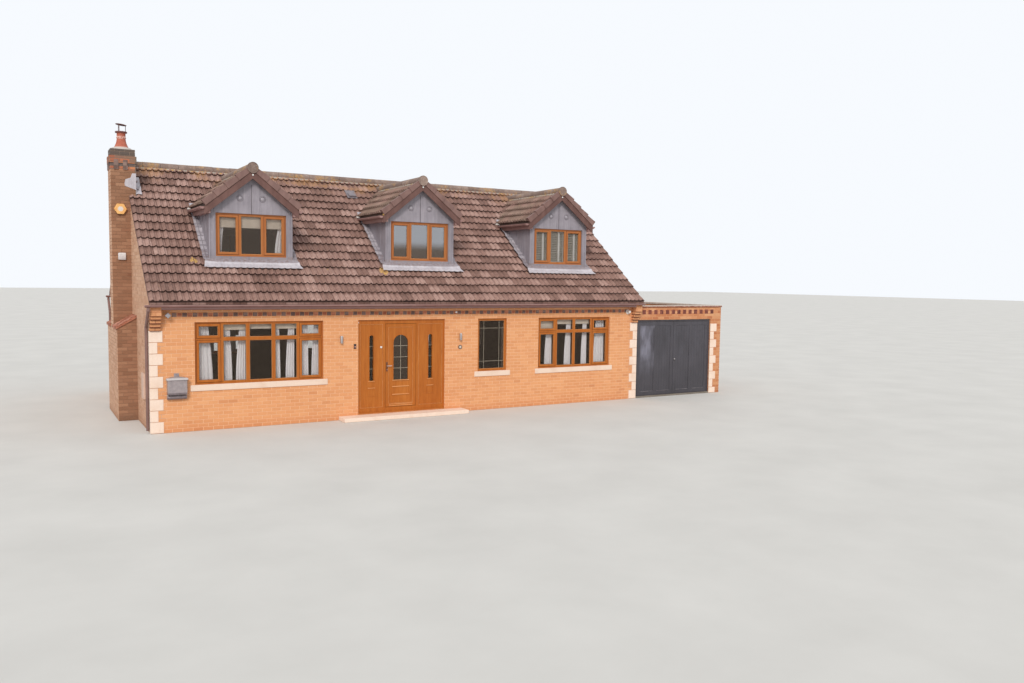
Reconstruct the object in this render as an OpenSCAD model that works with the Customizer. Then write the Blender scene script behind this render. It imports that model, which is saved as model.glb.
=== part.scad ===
// Detached dormer house with a flat-roofed garage, at full size.
// Everything is drawn from the front left corner of the brickwork at ground
// level, X along the front, Y into the house, and then moved by on_plot() so
// that the origin is under the middle of the ground floor slab.

/* [House body] */
// Length of the brickwork along the front
house_w = 13800; // [13200:100:15600]
// Depth from the front face to the rear face
house_d = 8260; // [7900:20:9000]
// Thickness of the cavity walls
wall_t = 300; // [260:10:340]
// Top of the ground floor above ground
floor_z = 150; // [130:10:180]
// Height of one brick course with its joint
course = 86; // [83:1:89]
// Top of the first floor deck above ground
deck_z = 2880; // [2820:10:2940]
// Thickness of the first floor deck with its ceiling
deck_t = 240; // [180:10:300]

/* [Main roof] */
// Pitch of the main roof in degrees
roof_pitch = 38; // [36:1:40]
// Height of the tile edge at the eaves
eaves_z = 2975; // [2950:5:3050]
// Reach of the tile edge in front of the wall
eaves_out = 265; // [250:5:290]
// Reach of the tiles past the gable walls
verge_out = 30; // [20:5:45]
// Thickness of the layer of tiles
tile_t = 45; // [40:1:55]
// Thickness of tiles and rafters together
roof_t = 230; // [200:5:260]
// Outer radius of the ridge tiles
ridge_r = 115; // [100:5:125]
// Rise of the ridge tile's centre over the line where the slopes meet
ridge_lift = 15; // [5:5:30]
// Clearance between sloping faces that bed on each other
bed = 0.1; // [0.1:0.1:0.5]

/* [Eaves] */
// Height of the soffit above ground
soffit_z = 2800; // [2780:5:2830]
// Thickness of the fascia and soffit boards
board_t = 20; // [15:1:25]
// Outer radius of the half-round gutters
gutter_r = 56; // [50:1:60]
// Wall of the gutters
gutter_t = 4; // [3:1:6]
// Height of the gutter's rim above ground
gutter_z = 2915; // [2905:1:2917]
// Distance between the gutter brackets
bracket_pitch = 660; // [600:20:1000]
// Thickness of the gutter brackets
bracket_t = 8; // [5:1:12]
// Outer diameter of the downpipes
pipe_d = 68; // [60:1:80]
// Gap between a downpipe and the wall
pipe_off = 20; // [15:1:30]
// Heights of the pipe clips above ground
clip_zs = [350, 1150, 1950];
// Width of a pipe clip
clip_w = 60; // [40:5:80]
// Width of the corbelled kneelers at the four corners
kneeler_w = 225; // [205:10:255]
// Courses that step out in a kneeler
kneeler_steps = 5; // [4:1:5]

/* [Quoins] */
// Courses of brick beside one quoin block
quoin_courses = 3; // [3:1:3]
// Long side of a quoin block
quoin_long = 270; // [250:5:290]
// Short side of a quoin block
quoin_short = 160; // [140:5:180]
// How far the blocks stand proud of the brick
quoin_proud = 14; // [8:1:20]
// Quoin blocks in each stack on the house
quoin_count = 9; // [8:1:9]
// Mortar joint between the blocks
quoin_joint = 10; // [8:1:14]

/* [Windows] */
// Underside of the window and door heads
head_z = 2510; // [2480:10:2560]
// Top of the stone sills
sill_z = 1065; // [1000:5:1120]
// Height of the stone sills
sill_h = 142; // [120:2:160]
// Reach of the sills in front of the wall
sill_out = 30; // [20:5:45]
// How far the sills run past the window on each side
sill_side = 105; // [80:5:120]
// Left edge of the big window from the left corner
big_x = 959; // [900:10:1100]
// Width of the big window
big_w = 3020; // [2800:20:3100]
// Brickwork between the front door and the small window
small_pier = 994; // [900:2:1100]
// Width of the small window
small_w = 909; // [800:3:960]
// Brickwork between the small window and the kitchen window
kitchen_pier = 1038; // [940:2:1140]
// Brickwork between the kitchen window and the right corner
kitchen_from_right = 1042; // [960:2:1150]
// Height of the transoms below the head
transom_drop = 400; // [340:10:460]
// Setback of the frames behind the brick face
frame_set = 40; // [30:5:60]
// Depth of a window frame from front to back
frame_d = 70; // [60:5:80]
// Face width of the outer frame
frame_w = 55; // [50:1:75]
// Face width of a mullion or transom
mullion_w = 72; // [50:1:80]
// Extra face width of an opening sash
sash_w = 38; // [30:1:50]
// How far an opening sash stands in front of its frame
sash_out = 14; // [8:1:20]
// How far a sash laps over its frame
sash_lap = 8; // [5:1:12]
// Reach of the frame's own sill in front of it
nose_out = 25; // [15:1:35]
// Height of the frame's own sill
nose_h = 30; // [20:1:40]
// Thickness of the sealed glass units
glass_t = 24; // [20:1:28]
// How far the glass runs into the frame on each side
glass_bite = 15; // [10:1:20]

/* [Front door] */
// Left edge of the door frame from the left corner
door_x = 4884; // [4800:4:5000]
// Width of the door frame with its side panels
door_w = 2425; // [2350:5:2500]
// Underside of the door frame above ground
door_z = 120; // [110:5:140]
// Width of the leaf
leaf_w = 850; // [800:5:880]
// Thickness of the leaf
leaf_t = 60; // [50:1:64]
// Left edge of the leaf from the left edge of the frame
leaf_x = 749; // [730:1:780]
// Gap round the leaf
leaf_gap = 8; // [7:1:10]
// Face width of the door frame and of its two mullions
door_frame_w = 62; // [55:1:80]
// Face width of the door frame's head
door_head_w = 110; // [90:5:130]
// Height of the threshold under the leaf
threshold_h = 130; // [100:5:150]
// Face width of the leaf's own stiles and rails
leaf_stile_w = 80; // [60:5:100]
// Width of the arched glass in the leaf
arch_w = 406; // [360:2:420]
// Sill of the arched glass above ground
arch_z = 945; // [900:5:980]
// Crown of the arched glass above ground
arch_top_z = 2114; // [2050:2:2150]
// Width of the narrow lights in the side panels
light_w = 112; // [90:2:130]
// Height and depth of the mouldings and sunk panels
moulding = 8; // [5:1:12]
// Face width of a moulding
moulding_w = 24; // [16:1:30]
// Width of the moulded panel low in the leaf
panel_w = 492; // [440:2:520]
// Underside of the moulded panels above ground
panel_z = 542; // [520:2:600]
// Top of the moulded panels above ground
panel_top_z = 779; // [740:1:820]
// Length of the lever handle
lever_l = 130; // [110:5:150]
// Height of the lever above ground
lever_z = 1319; // [1250:1:1350]
// Length of the stone step
step_w = 3450; // [3200:10:3600]
// Reach of the step in front of the wall
step_out = 450; // [350:10:550]
// Height of the step
step_h = 100; // [80:5:110]
// Length of the long plate behind the lever
handle_plate_h = 240; // [200:5:260]

/* [Dormers] */
// Distance between dormer centres
dormer_pitch = 4497; // [4300:1:4600]
// Shift of the middle dormer from the middle of the house
dormer_shift = 75; // [0:5:100]
// Width of the lead-clad front
dormer_w = 1980; // [1900:10:2100]
// Distance of the lead face behind the front of the brickwork
dormer_y = 900; // [850:10:950]
// Thickness of the dormer walls
dormer_t = 150; // [120:5:180]
// Pitch of the dormer roofs in degrees
dormer_pitch_deg = 39; // [37:1:41]
// Height where the dormer's two tile slopes meet
dormer_top_z = 6180; // [6150:5:6250]
// Reach of the dormer tiles past the cheeks
dormer_out = 140; // [120:5:160]
// Reach of the dormer roof in front of the lead face
dormer_front = 165; // [150:5:200]
// Thickness of the dormer roof with its boards
dormer_roof_t = 120; // [100:5:150]
// Width of a dormer window
dormer_win_w = 1700; // [1600:10:1720]
// Height of a dormer window
dormer_win_h = 1040; // [980:10:1060]
// Head of a dormer window above ground
dormer_head_z = 5090; // [5060:10:5110]
// Height of the dormer soffits above ground
dormer_soffit_z = 5060; // [5040:5:5080]
// Depth of the bargeboards
barge_h = 150; // [130:5:170]
// Thickness of the bargeboards
barge_t = 25; // [20:1:30]
// Reach of the lead apron in front of the dormer
apron_out = 125; // [100:5:150]
// Reach of the lead past the cheeks
soaker_out = 140; // [110:5:160]
// Thickness of the dressed lead
lead_t = 12; // [8:1:16]

/* [Chimney] */
// Side of the square stack
stack_w = 572; // [540:2:600]
// Reach of the stack and breast past the gable wall
stack_out = 442; // [420:2:460]
// Front face of the stack behind the front of the brickwork
stack_y = 3000; // [2900:10:3100]
// Width of the breast along the gable
breast_w = 2230; // [2000:10:2400]
// Height of the breast at its outer face
breast_z = 2270; // [2200:10:2320]
// Slope of the shoulders in degrees
shoulder_deg = 30; // [25:1:35]
// Thickness of the shoulder tiles
shoulder_t = 36; // [30:1:45]
// Height of the plain stack above ground
stack_z = 6170; // [6120:10:6250]
// Reach of the corbelled courses
corbel_out = 20; // [15:1:30]
// Foot diameter of the pot
pot_d = 425; // [400:1:440]
// Diameter of the pot's neck
neck_d = 205; // [195:5:225]
// Diameter of the pot's rim
rim_d = 280; // [265:5:300]
// Height of the pot
pot_h = 460; // [430:5:500]
// Height over which the pot flares out to its foot
flare_h = 300; // [260:5:340]
// Wall of the pot
pot_t = 25; // [18:1:30]
// Diameter of the disc over the pot
cowl_d = 255; // [240:5:270]
// Height of the disc over the rim
cowl_h = 165; // [140:5:190]
// Tilt of the disc in degrees
cowl_tilt = 7; // [0:1:8]
// Height of the mortar round the foot of the pot
flaunch_h = 50; // [30:5:70]

/* [Garage] */
// Width of the garage doorway
garage_w = 3000; // [2900:10:3200]
// Height of the garage doorway
garage_h = 2400; // [2350:10:2420]
// Depth of the garage
garage_d = 5500; // [5000:50:5800]
// Thickness of the garage walls
garage_t = 225; // [215:5:250]
// Width of the pier to the right of the doors
pier_w = 440; // [430:5:460]
// Setback of the garage doors behind the brick face
garage_set = 40; // [30:5:60]
// Top of the garage brickwork above ground
parapet_z = 2780; // [2760:5:2800]
// Thickness of the coping
coping_h = 60; // [50:2:70]
// Reach of the coping past the wall
coping_out = 30; // [20:5:40]
// Underside of the flat roof above ground
flat_roof_z = 2450; // [2440:10:2480]
// Thickness of the flat roof
flat_roof_t = 180; // [150:5:200]
// Height of the pull on the right garage leaf
pull_z = 1156; // [1100:2:1300]
// How much lower the pier's quoin blocks are than the house's
quoin_drop = 75; // [60:5:86]
// Thickness of the garage floor
garage_floor_h = 50; // [40:5:60]
// Face width of the garage door frame
garage_frame_w = 60; // [50:1:70]
// Depth of the garage door frame
garage_frame_d = 90; // [80:5:100]
// Thickness of a garage door leaf
garage_leaf_t = 45; // [40:1:50]
// Face width of the stiles and rails of a garage leaf
stile_w = 110; // [90:5:130]

/* [Hinges] */
// Diameter of the hinge knuckles
knuckle_d = 14; // [12:1:18]
// Length of one knuckle
knuckle_l = 50; // [40:5:60]
// Width of a hinge plate
plate_w = 40; // [30:2:50]
// Gap between two knuckles
knuckle_gap = 1; // [0.5:0.5:2]

/* [Wall fittings] */
// Left edge of the letter box from the left corner
box_x = 344; // [320:4:360]
// Depth of the letter box
box_d = 150; // [120:5:160]
// Width of the letter box
box_w = 418; // [380:2:440]
// Height of the letter box without its lid
box_h = 445; // [430:5:460]
// Underside of the letter box above ground
box_z = 765; // [740:5:800]
// Diameter of the wall lamps
lamp_d = 70; // [60:5:80]
// Height of the wall lamps
lamp_h = 180; // [150:5:220]
// Middle of the wall lamps above ground
lamp_z = 2030; // [2000:5:2060]
// Brickwork between a wall lamp and the door frame
lamp_gap = 450; // [400:5:460]
// Width of the alarm's bell box over its corners
bell_w = 330; // [300:5:340]
// Middle of the bell box above ground
bell_z = 5200; // [5150:10:5250]
// Width of the receiver box on the stack
receiver_w = 240; // [220:5:250]
// Middle of the receiver box above ground
receiver_z = 4026; // [3990:4:4050]
// Width of the meter cabinet
meter_w = 400; // [380:5:420]
// Height of the meter cabinet
meter_h = 600; // [560:5:620]
// Underside of the meter cabinet above ground
meter_z = 690; // [660:5:720]
// Middle of the meter cabinet behind the front of the brickwork
meter_y = 1000; // [960:10:1060]
// Side of the tilted floodlight at the left corner
flood_w = 90; // [80:5:110]
// Middle of the floodlight and of the two lights under the eaves
flood_z = 2674; // [2650:2:2690]
// Diameter of the globe light at the right corner
globe_d = 90; // [80:2:100]
// Distance of the globe light from the right corner
globe_from_right = 370; // [350:2:400]
// Diameter of the round plaque under the right wall lamp
plaque_d = 110; // [90:5:130]
// Middle of the plaque above ground
plaque_z = 1750; // [1720:5:1780]

/* [Hidden] */
$fn = 48;
// width of a gutter bracket along the gutter
bracket_w = 30;
// distance of the outer hinges from the ends of a leaf
hinge_end = 220;
// how far a side panel's moulding runs past its light
panel_side = 50;
// longer than any piece, for cuts and for pieces that the main roof cuts off
far = 20000;

// heights and positions that several pieces share
ridge_y = house_d / 2;
tile_v = tile_t / cos(roof_pitch);
roof_v = roof_t / cos(roof_pitch);
inner_l = wall_t;
inner_r = house_w - wall_t;
window_h = head_z - sill_z;
door_right = door_x + door_w;
small_x = door_right + small_pier;
kitchen_x = small_x + small_w + kitchen_pier;
kitchen_w = house_w - kitchen_from_right - kitchen_x;
fascia_y = -eaves_out + 30;
kneeler_z = quoin_count * quoin_courses * course;

gutter_y = fascia_y - gutter_r - bracket_t;
pipe_x = -pipe_d / 2 - pipe_off;
pipe_y = pipe_d + pipe_off;
garage_r = house_w + garage_w;
pier_r = garage_r + pier_w;

function roof_top(y) = eaves_z + (y + eaves_out) * tan(roof_pitch);
function roof_back(z) = (z - eaves_z) / tan(roof_pitch) - eaves_out;

// dormer values, with x measured from a dormer's centre line
dormer_xs = [for (k = [-1, 0, 1]) house_w / 2 + dormer_shift + k * dormer_pitch];
dormer_half = dormer_w / 2;
dormer_edge = dormer_half + dormer_out;
dormer_in_y = dormer_y + dormer_t;
dormer_tile_v = tile_t / cos(dormer_pitch_deg);
dormer_roof_v = dormer_roof_t / cos(dormer_pitch_deg);
dormer_hole_y = roof_back(dormer_soffit_z);

function dormer_top(x) = dormer_top_z - abs(x) * tan(dormer_pitch_deg);

// moves a piece from the corner of the brickwork to the part's own origin
module on_plot() {
    translate([-house_w / 2, -house_d / 2, 0]) children();
}

// a profile drawn in Y and Z, run along X
module along_x(x0, x1) {
    translate([x0, 0, 0]) rotate([90, 0, 90]) linear_extrude(x1 - x0) children();
}

// a profile drawn in X and Z, run along Y
module along_y(y0, y1) {
    translate([0, y1, 0]) rotate([90, 0, 0]) linear_extrude(y1 - y0) children();
}

module block(lo, hi) {
    translate(lo) cube(hi - lo);
}

// the same piece on the front and, turned round, on the rear
module front_and_rear() {
    children();
    to_rear() children();
}

module to_rear() {
    translate([0, house_d, 0]) mirror([0, 1, 0]) children();
}

module at_dormers() {
    for (x = dormer_xs) translate([x, 0, 0]) children();
}

// ground floor windows: left edge, width, lights, with or without a transom
front_windows = [
    [big_x, big_w, 5, true],
    [small_x, small_w, 1, false],
    [kitchen_x, kitchen_w, 4, true]
];
rear_windows = [
    [big_x, big_w, 5, true],
    [door_x + (door_w - small_w) / 2, small_w, 1, false],
    [kitchen_x, kitchen_w, 4, true]
];

module wall_profile() {
    polygon([
        [0, 0], [wall_t, 0],
        [wall_t, roof_top(wall_t) - roof_v], [0, roof_top(0) - roof_v]
    ]);
}

// the hole for a window and the seat of its stone sill
module window_cut(x, w) {
    block([x, -1, sill_z], [x + w, wall_t + 1, head_z]);
    block(
        [x - sill_side, -sill_out - 1, sill_z - sill_h],
        [x + w + sill_side, frame_set + frame_d, sill_z]
    );
}

module wall_with_windows(x0, x1, windows) {
    difference() {
        along_x(x0, x1) wall_profile();
        for (win = windows) window_cut(win[0], win[1]);
    }
}

module floor_slabs() {
    color("gainsboro") on_plot() {
        block([inner_l, wall_t, 0], [inner_r, house_d - wall_t, floor_z]);
        block([door_x, 0, 0], [door_right, wall_t, door_z]);
        block([house_w, 0, 0], [garage_r, garage_d - garage_t, garage_floor_h]);
        block(
            [house_w, garage_t, 0],
            [pier_r - garage_t, garage_d - garage_t, garage_floor_h]
        );
    }
}

module front_wall_left() {
    color("burlywood") on_plot()
        wall_with_windows(inner_l, door_x, [front_windows[0]]);
}

module front_wall_right() {
    color("burlywood") on_plot()
        wall_with_windows(door_right, inner_r, [front_windows[1], front_windows[2]]);
}

module front_door_lintel() {
    color("burlywood") on_plot() intersection() {
        along_x(door_x, door_right) wall_profile();
        block([0, -1, head_z], [house_w, wall_t + 1, eaves_z + wall_t]);
    }
}

module rear_wall() {
    color("burlywood") on_plot() to_rear()
        wall_with_windows(inner_l, inner_r, rear_windows);
}

module gable_profile() {
    polygon([
        [0, 0], [house_d, 0],
        [house_d, roof_top(0) - tile_v - bed],
        [ridge_y, roof_top(ridge_y) - tile_v - bed],
        [0, roof_top(0) - tile_v - bed]
    ]);
}

module left_gable_wall() {
    color("burlywood") on_plot() along_x(0, wall_t) gable_profile();
}

module right_gable_wall() {
    color("burlywood") on_plot() along_x(house_w - wall_t, house_w) gable_profile();
}

module first_floor_deck() {
    color("tan") on_plot()
        block([inner_l, wall_t, deck_z - deck_t], [inner_r, house_d - wall_t, deck_z]);
}

// a stretch of the front slope from y0 to y1 and from x0 to x1: the tiles
// run over the gables, and the rafters lie between them
module slope(x0, x1, y0, y1) {
    along_x(x0, x1) polygon([
        [y0, roof_top(y0)], [y0, roof_top(y0) - tile_v],
        [y1, roof_top(y1) - tile_v], [y1, roof_top(y1)]
    ]);
    rafter_y = max(y0, 0);
    along_x(max(x0, inner_l), min(x1, inner_r)) polygon([
        [rafter_y, roof_top(rafter_y) - tile_v / 2],
        [rafter_y, roof_top(rafter_y) - roof_v],
        [y1, roof_top(y1) - roof_v], [y1, roof_top(y1) - tile_v / 2]
    ]);
}

// edges of the stretches of roof between the dormers
bay_edges = [
    -verge_out,
    for (x = dormer_xs) each [x - dormer_half + dormer_t, x + dormer_half - dormer_t],
    house_w + verge_out
];

module roof_lower_slopes() {
    color("rosybrown") on_plot() front_and_rear()
        slope(-verge_out, house_w + verge_out, -eaves_out, dormer_in_y);
}

module roof_bay_slopes() {
    color("rosybrown") on_plot() front_and_rear()
        for (k = [0 : 2 : len(bay_edges) - 1])
            slope(bay_edges[k], bay_edges[k + 1], dormer_in_y, dormer_hole_y);
}

module upper_slope() {
    slope(-verge_out, house_w + verge_out, dormer_hole_y, ridge_y);
}

module front_roof_upper_slope() {
    color("rosybrown") on_plot() difference() {
        upper_slope();
        block([-stack_out, stack_y, 0], [0, stack_y + stack_w, far]);
    }
}

module rear_roof_upper_slope() {
    color("rosybrown") on_plot() to_rear() upper_slope();
}

// a half-round ridge tile with its bed of mortar, on slopes that fall away
// from the point (0, z)
module ridge_profile(z, slope_tan) {
    difference() {
        union() {
            translate([0, z + ridge_lift]) circle(ridge_r);
            translate([-ridge_r, z - ridge_r]) square([2 * ridge_r, ridge_r + ridge_lift]);
        }
        polygon([
            [0, z + bed],
            [2 * ridge_r, z + bed - 2 * ridge_r * slope_tan],
            [2 * ridge_r, z - 4 * ridge_r], [-2 * ridge_r, z - 4 * ridge_r],
            [-2 * ridge_r, z + bed - 2 * ridge_r * slope_tan]
        ]);
    }
}

module ridge_tiles() {
    dormer_ridge_end = roof_back(dormer_top_z);
    // thickness of the round cap that closes a dormer's ridge
    cap_t = 30;
    color("rosybrown") on_plot() {
        along_x(-verge_out, house_w + verge_out) translate([ridge_y, 0])
            ridge_profile(roof_top(ridge_y), tan(roof_pitch));
        front_and_rear() at_dormers() difference() {
            along_y(dormer_y - dormer_front, dormer_ridge_end + 2 * ridge_r)
                ridge_profile(dormer_top_z, tan(dormer_pitch_deg));
            below_main_roof();
        }
        front_and_rear() at_dormers() translate([0, 0, dormer_top_z + ridge_lift])
            along_y(dormer_y - dormer_front - cap_t, dormer_y - dormer_front) circle(ridge_r);
    }
}

// everything under the tiles of the front slope
module below_main_roof() {
    along_x(-far, far) polygon([
        [-far, roof_top(-far) + bed], [far, roof_top(far) + bed], [far, -far], [-far, -far]
    ]);
}

module eaves_boards() {
    board_top = roof_top(fascia_y) - tile_v;
    color("saddlebrown") on_plot() front_and_rear() {
        along_x(kneeler_w, house_w - kneeler_w) polygon([
            [fascia_y, soffit_z], [0, soffit_z], [0, soffit_z + board_t],
            [fascia_y + board_t, soffit_z + board_t],
            [fascia_y + board_t, board_top], [fascia_y, board_top]
        ]);
        at_dormers() for (side = [0, 1]) mirror([side, 0, 0]) dormer_eaves();
    }
}

// the boxed eaves along one side of a dormer, back to the main roof
module dormer_eaves() {
    difference() {
        along_y(dormer_y - dormer_front + barge_t, far) polygon([
            [dormer_half, dormer_soffit_z],
            [dormer_edge - board_t, dormer_soffit_z],
            [dormer_edge - board_t, dormer_top(dormer_edge - board_t) - dormer_tile_v - bed],
            [dormer_half, dormer_top(dormer_half) - dormer_tile_v - bed]
        ]);
        below_main_roof();
    }
}

// a half-round trough centred on the rim line at (0, 0)
module trough_profile() {
    difference() {
        circle(gutter_r);
        circle(gutter_r - gutter_t);
        translate([-2 * gutter_r, 0]) square(4 * gutter_r);
    }
}

// a strap under the trough with a plate against the board behind it at x = back
module bracket_profile(back) {
    difference() {
        union() {
            circle(gutter_r + bracket_t);
            translate([back - bracket_t, -gutter_r]) square([bracket_t, gutter_r]);
        }
        circle(gutter_r - gutter_t / 2);
        translate([-2 * gutter_r, 0]) square(4 * gutter_r);
    }
}

module gutters() {
    gutter_x0 = pipe_x - pipe_d;
    gutter_x1 = house_w + verge_out;
    brackets = floor((house_w - 2 * kneeler_w) / bracket_pitch);
    first = (house_w - brackets * bracket_pitch) / 2;
    back = gutter_r + bracket_t;
    color("saddlebrown") on_plot() front_and_rear() {
        along_x(gutter_x0, gutter_x1) translate([gutter_y, gutter_z]) trough_profile();
        for (x = [gutter_x0, gutter_x1 - gutter_t])
            along_x(x, x + gutter_t) translate([gutter_y, gutter_z]) half_disc();
        for (k = [0 : brackets])
            along_x(first + k * bracket_pitch - bracket_w / 2, first + k * bracket_pitch + bracket_w / 2)
                translate([gutter_y, gutter_z]) bracket_profile(back);
        at_dormers() for (side = [0, 1]) mirror([side, 0, 0]) dormer_gutter();
    }
}

module half_disc() {
    difference() {
        circle(gutter_r);
        translate([-2 * gutter_r, 0]) square(4 * gutter_r);
    }
}

// the short gutter along one side of a dormer, from its front to the main roof
module dormer_gutter() {
    y0 = dormer_y - dormer_front + barge_t;
    x = dormer_edge - board_t + gutter_r + bracket_t;
    z = dormer_top(dormer_edge) - dormer_tile_v;
    difference() {
        union() {
            along_y(y0, far) translate([x, z]) trough_profile();
            along_y(y0, y0 + gutter_t) translate([x, z]) half_disc();
            for (y = [y0 + bracket_w, (y0 + dormer_hole_y) / 2])
                along_y(y, y + bracket_w) translate([x, z]) mirror([1, 0])
                    bracket_profile(gutter_r + bracket_t);
        }
        below_main_roof();
    }
}

// a round pipe from one point down to another
module pipe(from, to) {
    run = from - to;
    translate(to) rotate([0, acos(run[2] / norm(run)), atan2(run[1], run[0])])
        cylinder(d = pipe_d, h = norm(run));
}

// outlet under the gutter, swan neck back to the gable and a clipped pipe
module downpipes() {
    outlet = [pipe_x, gutter_y, gutter_z - gutter_r];
    neck = outlet - [0, 0, pipe_d];
    elbow = [pipe_x, pipe_y, neck[2] - (pipe_y - gutter_y)];
    foot_z = pipe_d;
    bend_d = pipe_d + 10;
    color("saddlebrown") on_plot() front_and_rear() {
        pipe(outlet, neck);
        translate(neck) sphere(d = bend_d);
        pipe(neck, elbow);
        translate(elbow) sphere(d = bend_d);
        pipe(elbow, [pipe_x, pipe_y, foot_z]);
        for (z = clip_zs)
            block([pipe_x, pipe_y - clip_w / 2, z], [-quoin_proud, pipe_y + clip_w / 2, z + clip_w / 2]);
    }
}

// corbelled courses that step out under the eaves at a corner
module kneelers() {
    step_y = -fascia_y / kneeler_steps;
    top = roof_top(fascia_y) - tile_v - bed;
    color("burlywood") on_plot() front_and_rear()
        for (x = [0, house_w - kneeler_w])
            along_x(x, x + kneeler_w) polygon([
                [0, kneeler_z],
                for (k = [1 : kneeler_steps]) each [
                    [-k * step_y, kneeler_z + (k - 1) * course],
                    [-k * step_y, kneeler_z + k * course]
                ],
                [fascia_y, top],
                [0, roof_top(0) - tile_v - bed]
            ]);
}

// one stack of L-shaped quoin blocks round a corner at (0, 0), long and
// short sides turn about; the stack starts with a long front side or not
module quoin_stack(count, long_first) {
    pitch = quoin_courses * course;
    for (k = [0 : count - 1]) {
        long_front = ((count - 1 - k) % 2 == 0) == long_first;
        front = long_front ? quoin_long : quoin_short;
        side = long_front ? quoin_short : quoin_long;
        translate([0, 0, k * pitch + quoin_joint]) linear_extrude(pitch - quoin_joint)
            polygon([
                [-quoin_proud, -quoin_proud], [front, -quoin_proud], [front, 0],
                [0, 0], [0, side], [-quoin_proud, side]
            ]);
    }
}

module quoins() {
    color("wheat") on_plot() {
        front_and_rear() quoin_stack(quoin_count, true);
        to_rear() translate([house_w, 0, 0]) mirror([1, 0, 0])
            quoin_stack(quoin_count, true);
        translate([house_w, 0, 0]) mirror([1, 0, 0]) front_quoin_faces(0);
        translate([garage_r, 0, 0]) front_quoin_faces(quoin_drop);
    }
}

// flat blocks that start at x = 0, for a corner whose side doesn't show; the
// lowest block is cut off at the ground
module front_quoin_faces(drop) {
    pitch = quoin_courses * course;
    for (k = [0 : quoin_count - 1]) {
        front = (quoin_count - 1 - k) % 2 == 0 ? quoin_long : quoin_short;
        foot = max(quoin_joint, k * pitch + quoin_joint - drop);
        block([0, -quoin_proud, foot], [front, 0, (k + 1) * pitch - drop]);
    }
}

// the lights of a window w by h, each [left, bottom, right, top, opens]; the
// outer lights open, and a transom splits each light in two
function lights_of(w, h, lights, transom) = [
    for (k = [0 : lights - 1])
        let (
            x0 = k == 0 ? frame_w : k * w / lights + mullion_w / 2,
            x1 = k == lights - 1 ? w - frame_w : (k + 1) * w / lights - mullion_w / 2,
            opens = lights > 1 && (k == 0 || k == lights - 1),
            split = h - transom_drop
        )
        each transom
            ? [
                [x0, frame_w, x1, split - mullion_w / 2, opens],
                [x0, split + mullion_w / 2, x1, h - frame_w, opens]
            ]
            : [[x0, frame_w, x1, h - frame_w, opens]]
];

// a light's outline, drawn in by d on every side
module light_outline(light, d) {
    translate([light[0] + d, light[1] + d])
        square([light[2] - light[0] - 2 * d, light[3] - light[1] - 2 * d]);
}

// the sealed glass sheet that a frame holds all round
module glass_sheet(w, h) {
    edge = frame_w - glass_bite;
    mid = (frame_d - glass_t) / 2;
    along_y(mid, mid + glass_t)
        translate([edge, edge]) square([w - 2 * edge, h - 2 * edge]);
}

// a window frame with its sashes and its own sill, its front face at y = 0
module frame_round_glass(w, h, lights, transom) {
    all_lights = lights_of(w, h, lights, transom);
    difference() {
        union() {
            along_y(0, frame_d) square([w, h]);
            for (light = all_lights) if (light[4])
                along_y(-sash_out, 0) light_outline(light, -sash_lap);
            block([0, -nose_out, 0], [w, 0, nose_h]);
        }
        for (light = all_lights)
            along_y(-sash_out - 1, frame_d + 1) light_outline(light, light[4] ? sash_w : 0);
        glass_sheet(w, h);
    }
}

// places children in each ground floor window of one wall
module each_window(windows) {
    for (win = windows) translate([win[0], frame_set, sill_z]) {
        $win = win;
        children();
    }
}

module dormer_window_place() {
    translate([-dormer_win_w / 2, dormer_y + frame_set, dormer_head_z - dormer_win_h])
        children();
}

module window_frames() {
    color("peru") on_plot() {
        each_window(front_windows) frame_round_glass($win[1], window_h, $win[2], $win[3]);
        to_rear() each_window(rear_windows)
            frame_round_glass($win[1], window_h, $win[2], $win[3]);
        front_and_rear() at_dormers() dormer_window_place()
            frame_round_glass(dormer_win_w, dormer_win_h, 3, false);
    }
}

module window_glass() {
    color("lightblue", 0.4) on_plot() {
        each_window(front_windows) glass_sheet($win[1], window_h);
        to_rear() each_window(rear_windows) glass_sheet($win[1], window_h);
        front_and_rear() at_dormers() dormer_window_place()
            glass_sheet(dormer_win_w, dormer_win_h);
        translate([door_x, frame_set, door_z]) for (x = side_light_xs) side_glass(x);
    }
}

module sill(x, w) {
    block(
        [x - sill_side, -sill_out, sill_z - sill_h],
        [x + w + sill_side, frame_set + frame_d, sill_z]
    );
}

module window_sills() {
    color("wheat") on_plot() {
        for (win = front_windows) sill(win[0], win[1]);
        to_rear() for (win = rear_windows) sill(win[0], win[1]);
    }
}

// front door values, x and z measured from the frame's lower left corner
door_h = head_z - door_z;
leaf_z = threshold_h;
leaf_h = door_h - door_head_w - threshold_h;
leaf_mid = leaf_x + leaf_w / 2;
hinge_x = leaf_x + leaf_w;
light_z = arch_z - door_z;
light_top = arch_top_z - door_z;
side_x0 = door_frame_w;
side_w0 = leaf_x - leaf_gap - 2 * door_frame_w;
side_x1 = hinge_x + leaf_gap + door_frame_w;
side_w1 = door_w - door_frame_w - side_x1;
side_light_xs = [side_x0 + side_w0 / 2, side_x1 + side_w1 / 2];

// a tall light with a round head, drawn in by d on every side
module arched_light(x, w, d) {
    top = light_top - d;
    translate([x - w / 2 + d, light_z + d])
        square([w - 2 * d, top - light_z - w / 2]);
    translate([x, top - w / 2 + d]) circle(w / 2 - d);
}

// a raised moulding round a light and round the panel below it
module mouldings(x, light_width, panel_width) {
    along_y(-moulding, 0) difference() {
        arched_light(x, light_width, -moulding_w);
        arched_light(x, light_width, 0);
    }
    along_y(-moulding, 0) difference() {
        panel_outline(x, panel_width, 0);
        panel_outline(x, panel_width, moulding_w);
    }
}

module panel_outline(x, w, d) {
    translate([x - w / 2 + d, panel_z - door_z + d])
        square([w - 2 * d, panel_top_z - panel_z - 2 * d]);
}

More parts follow.
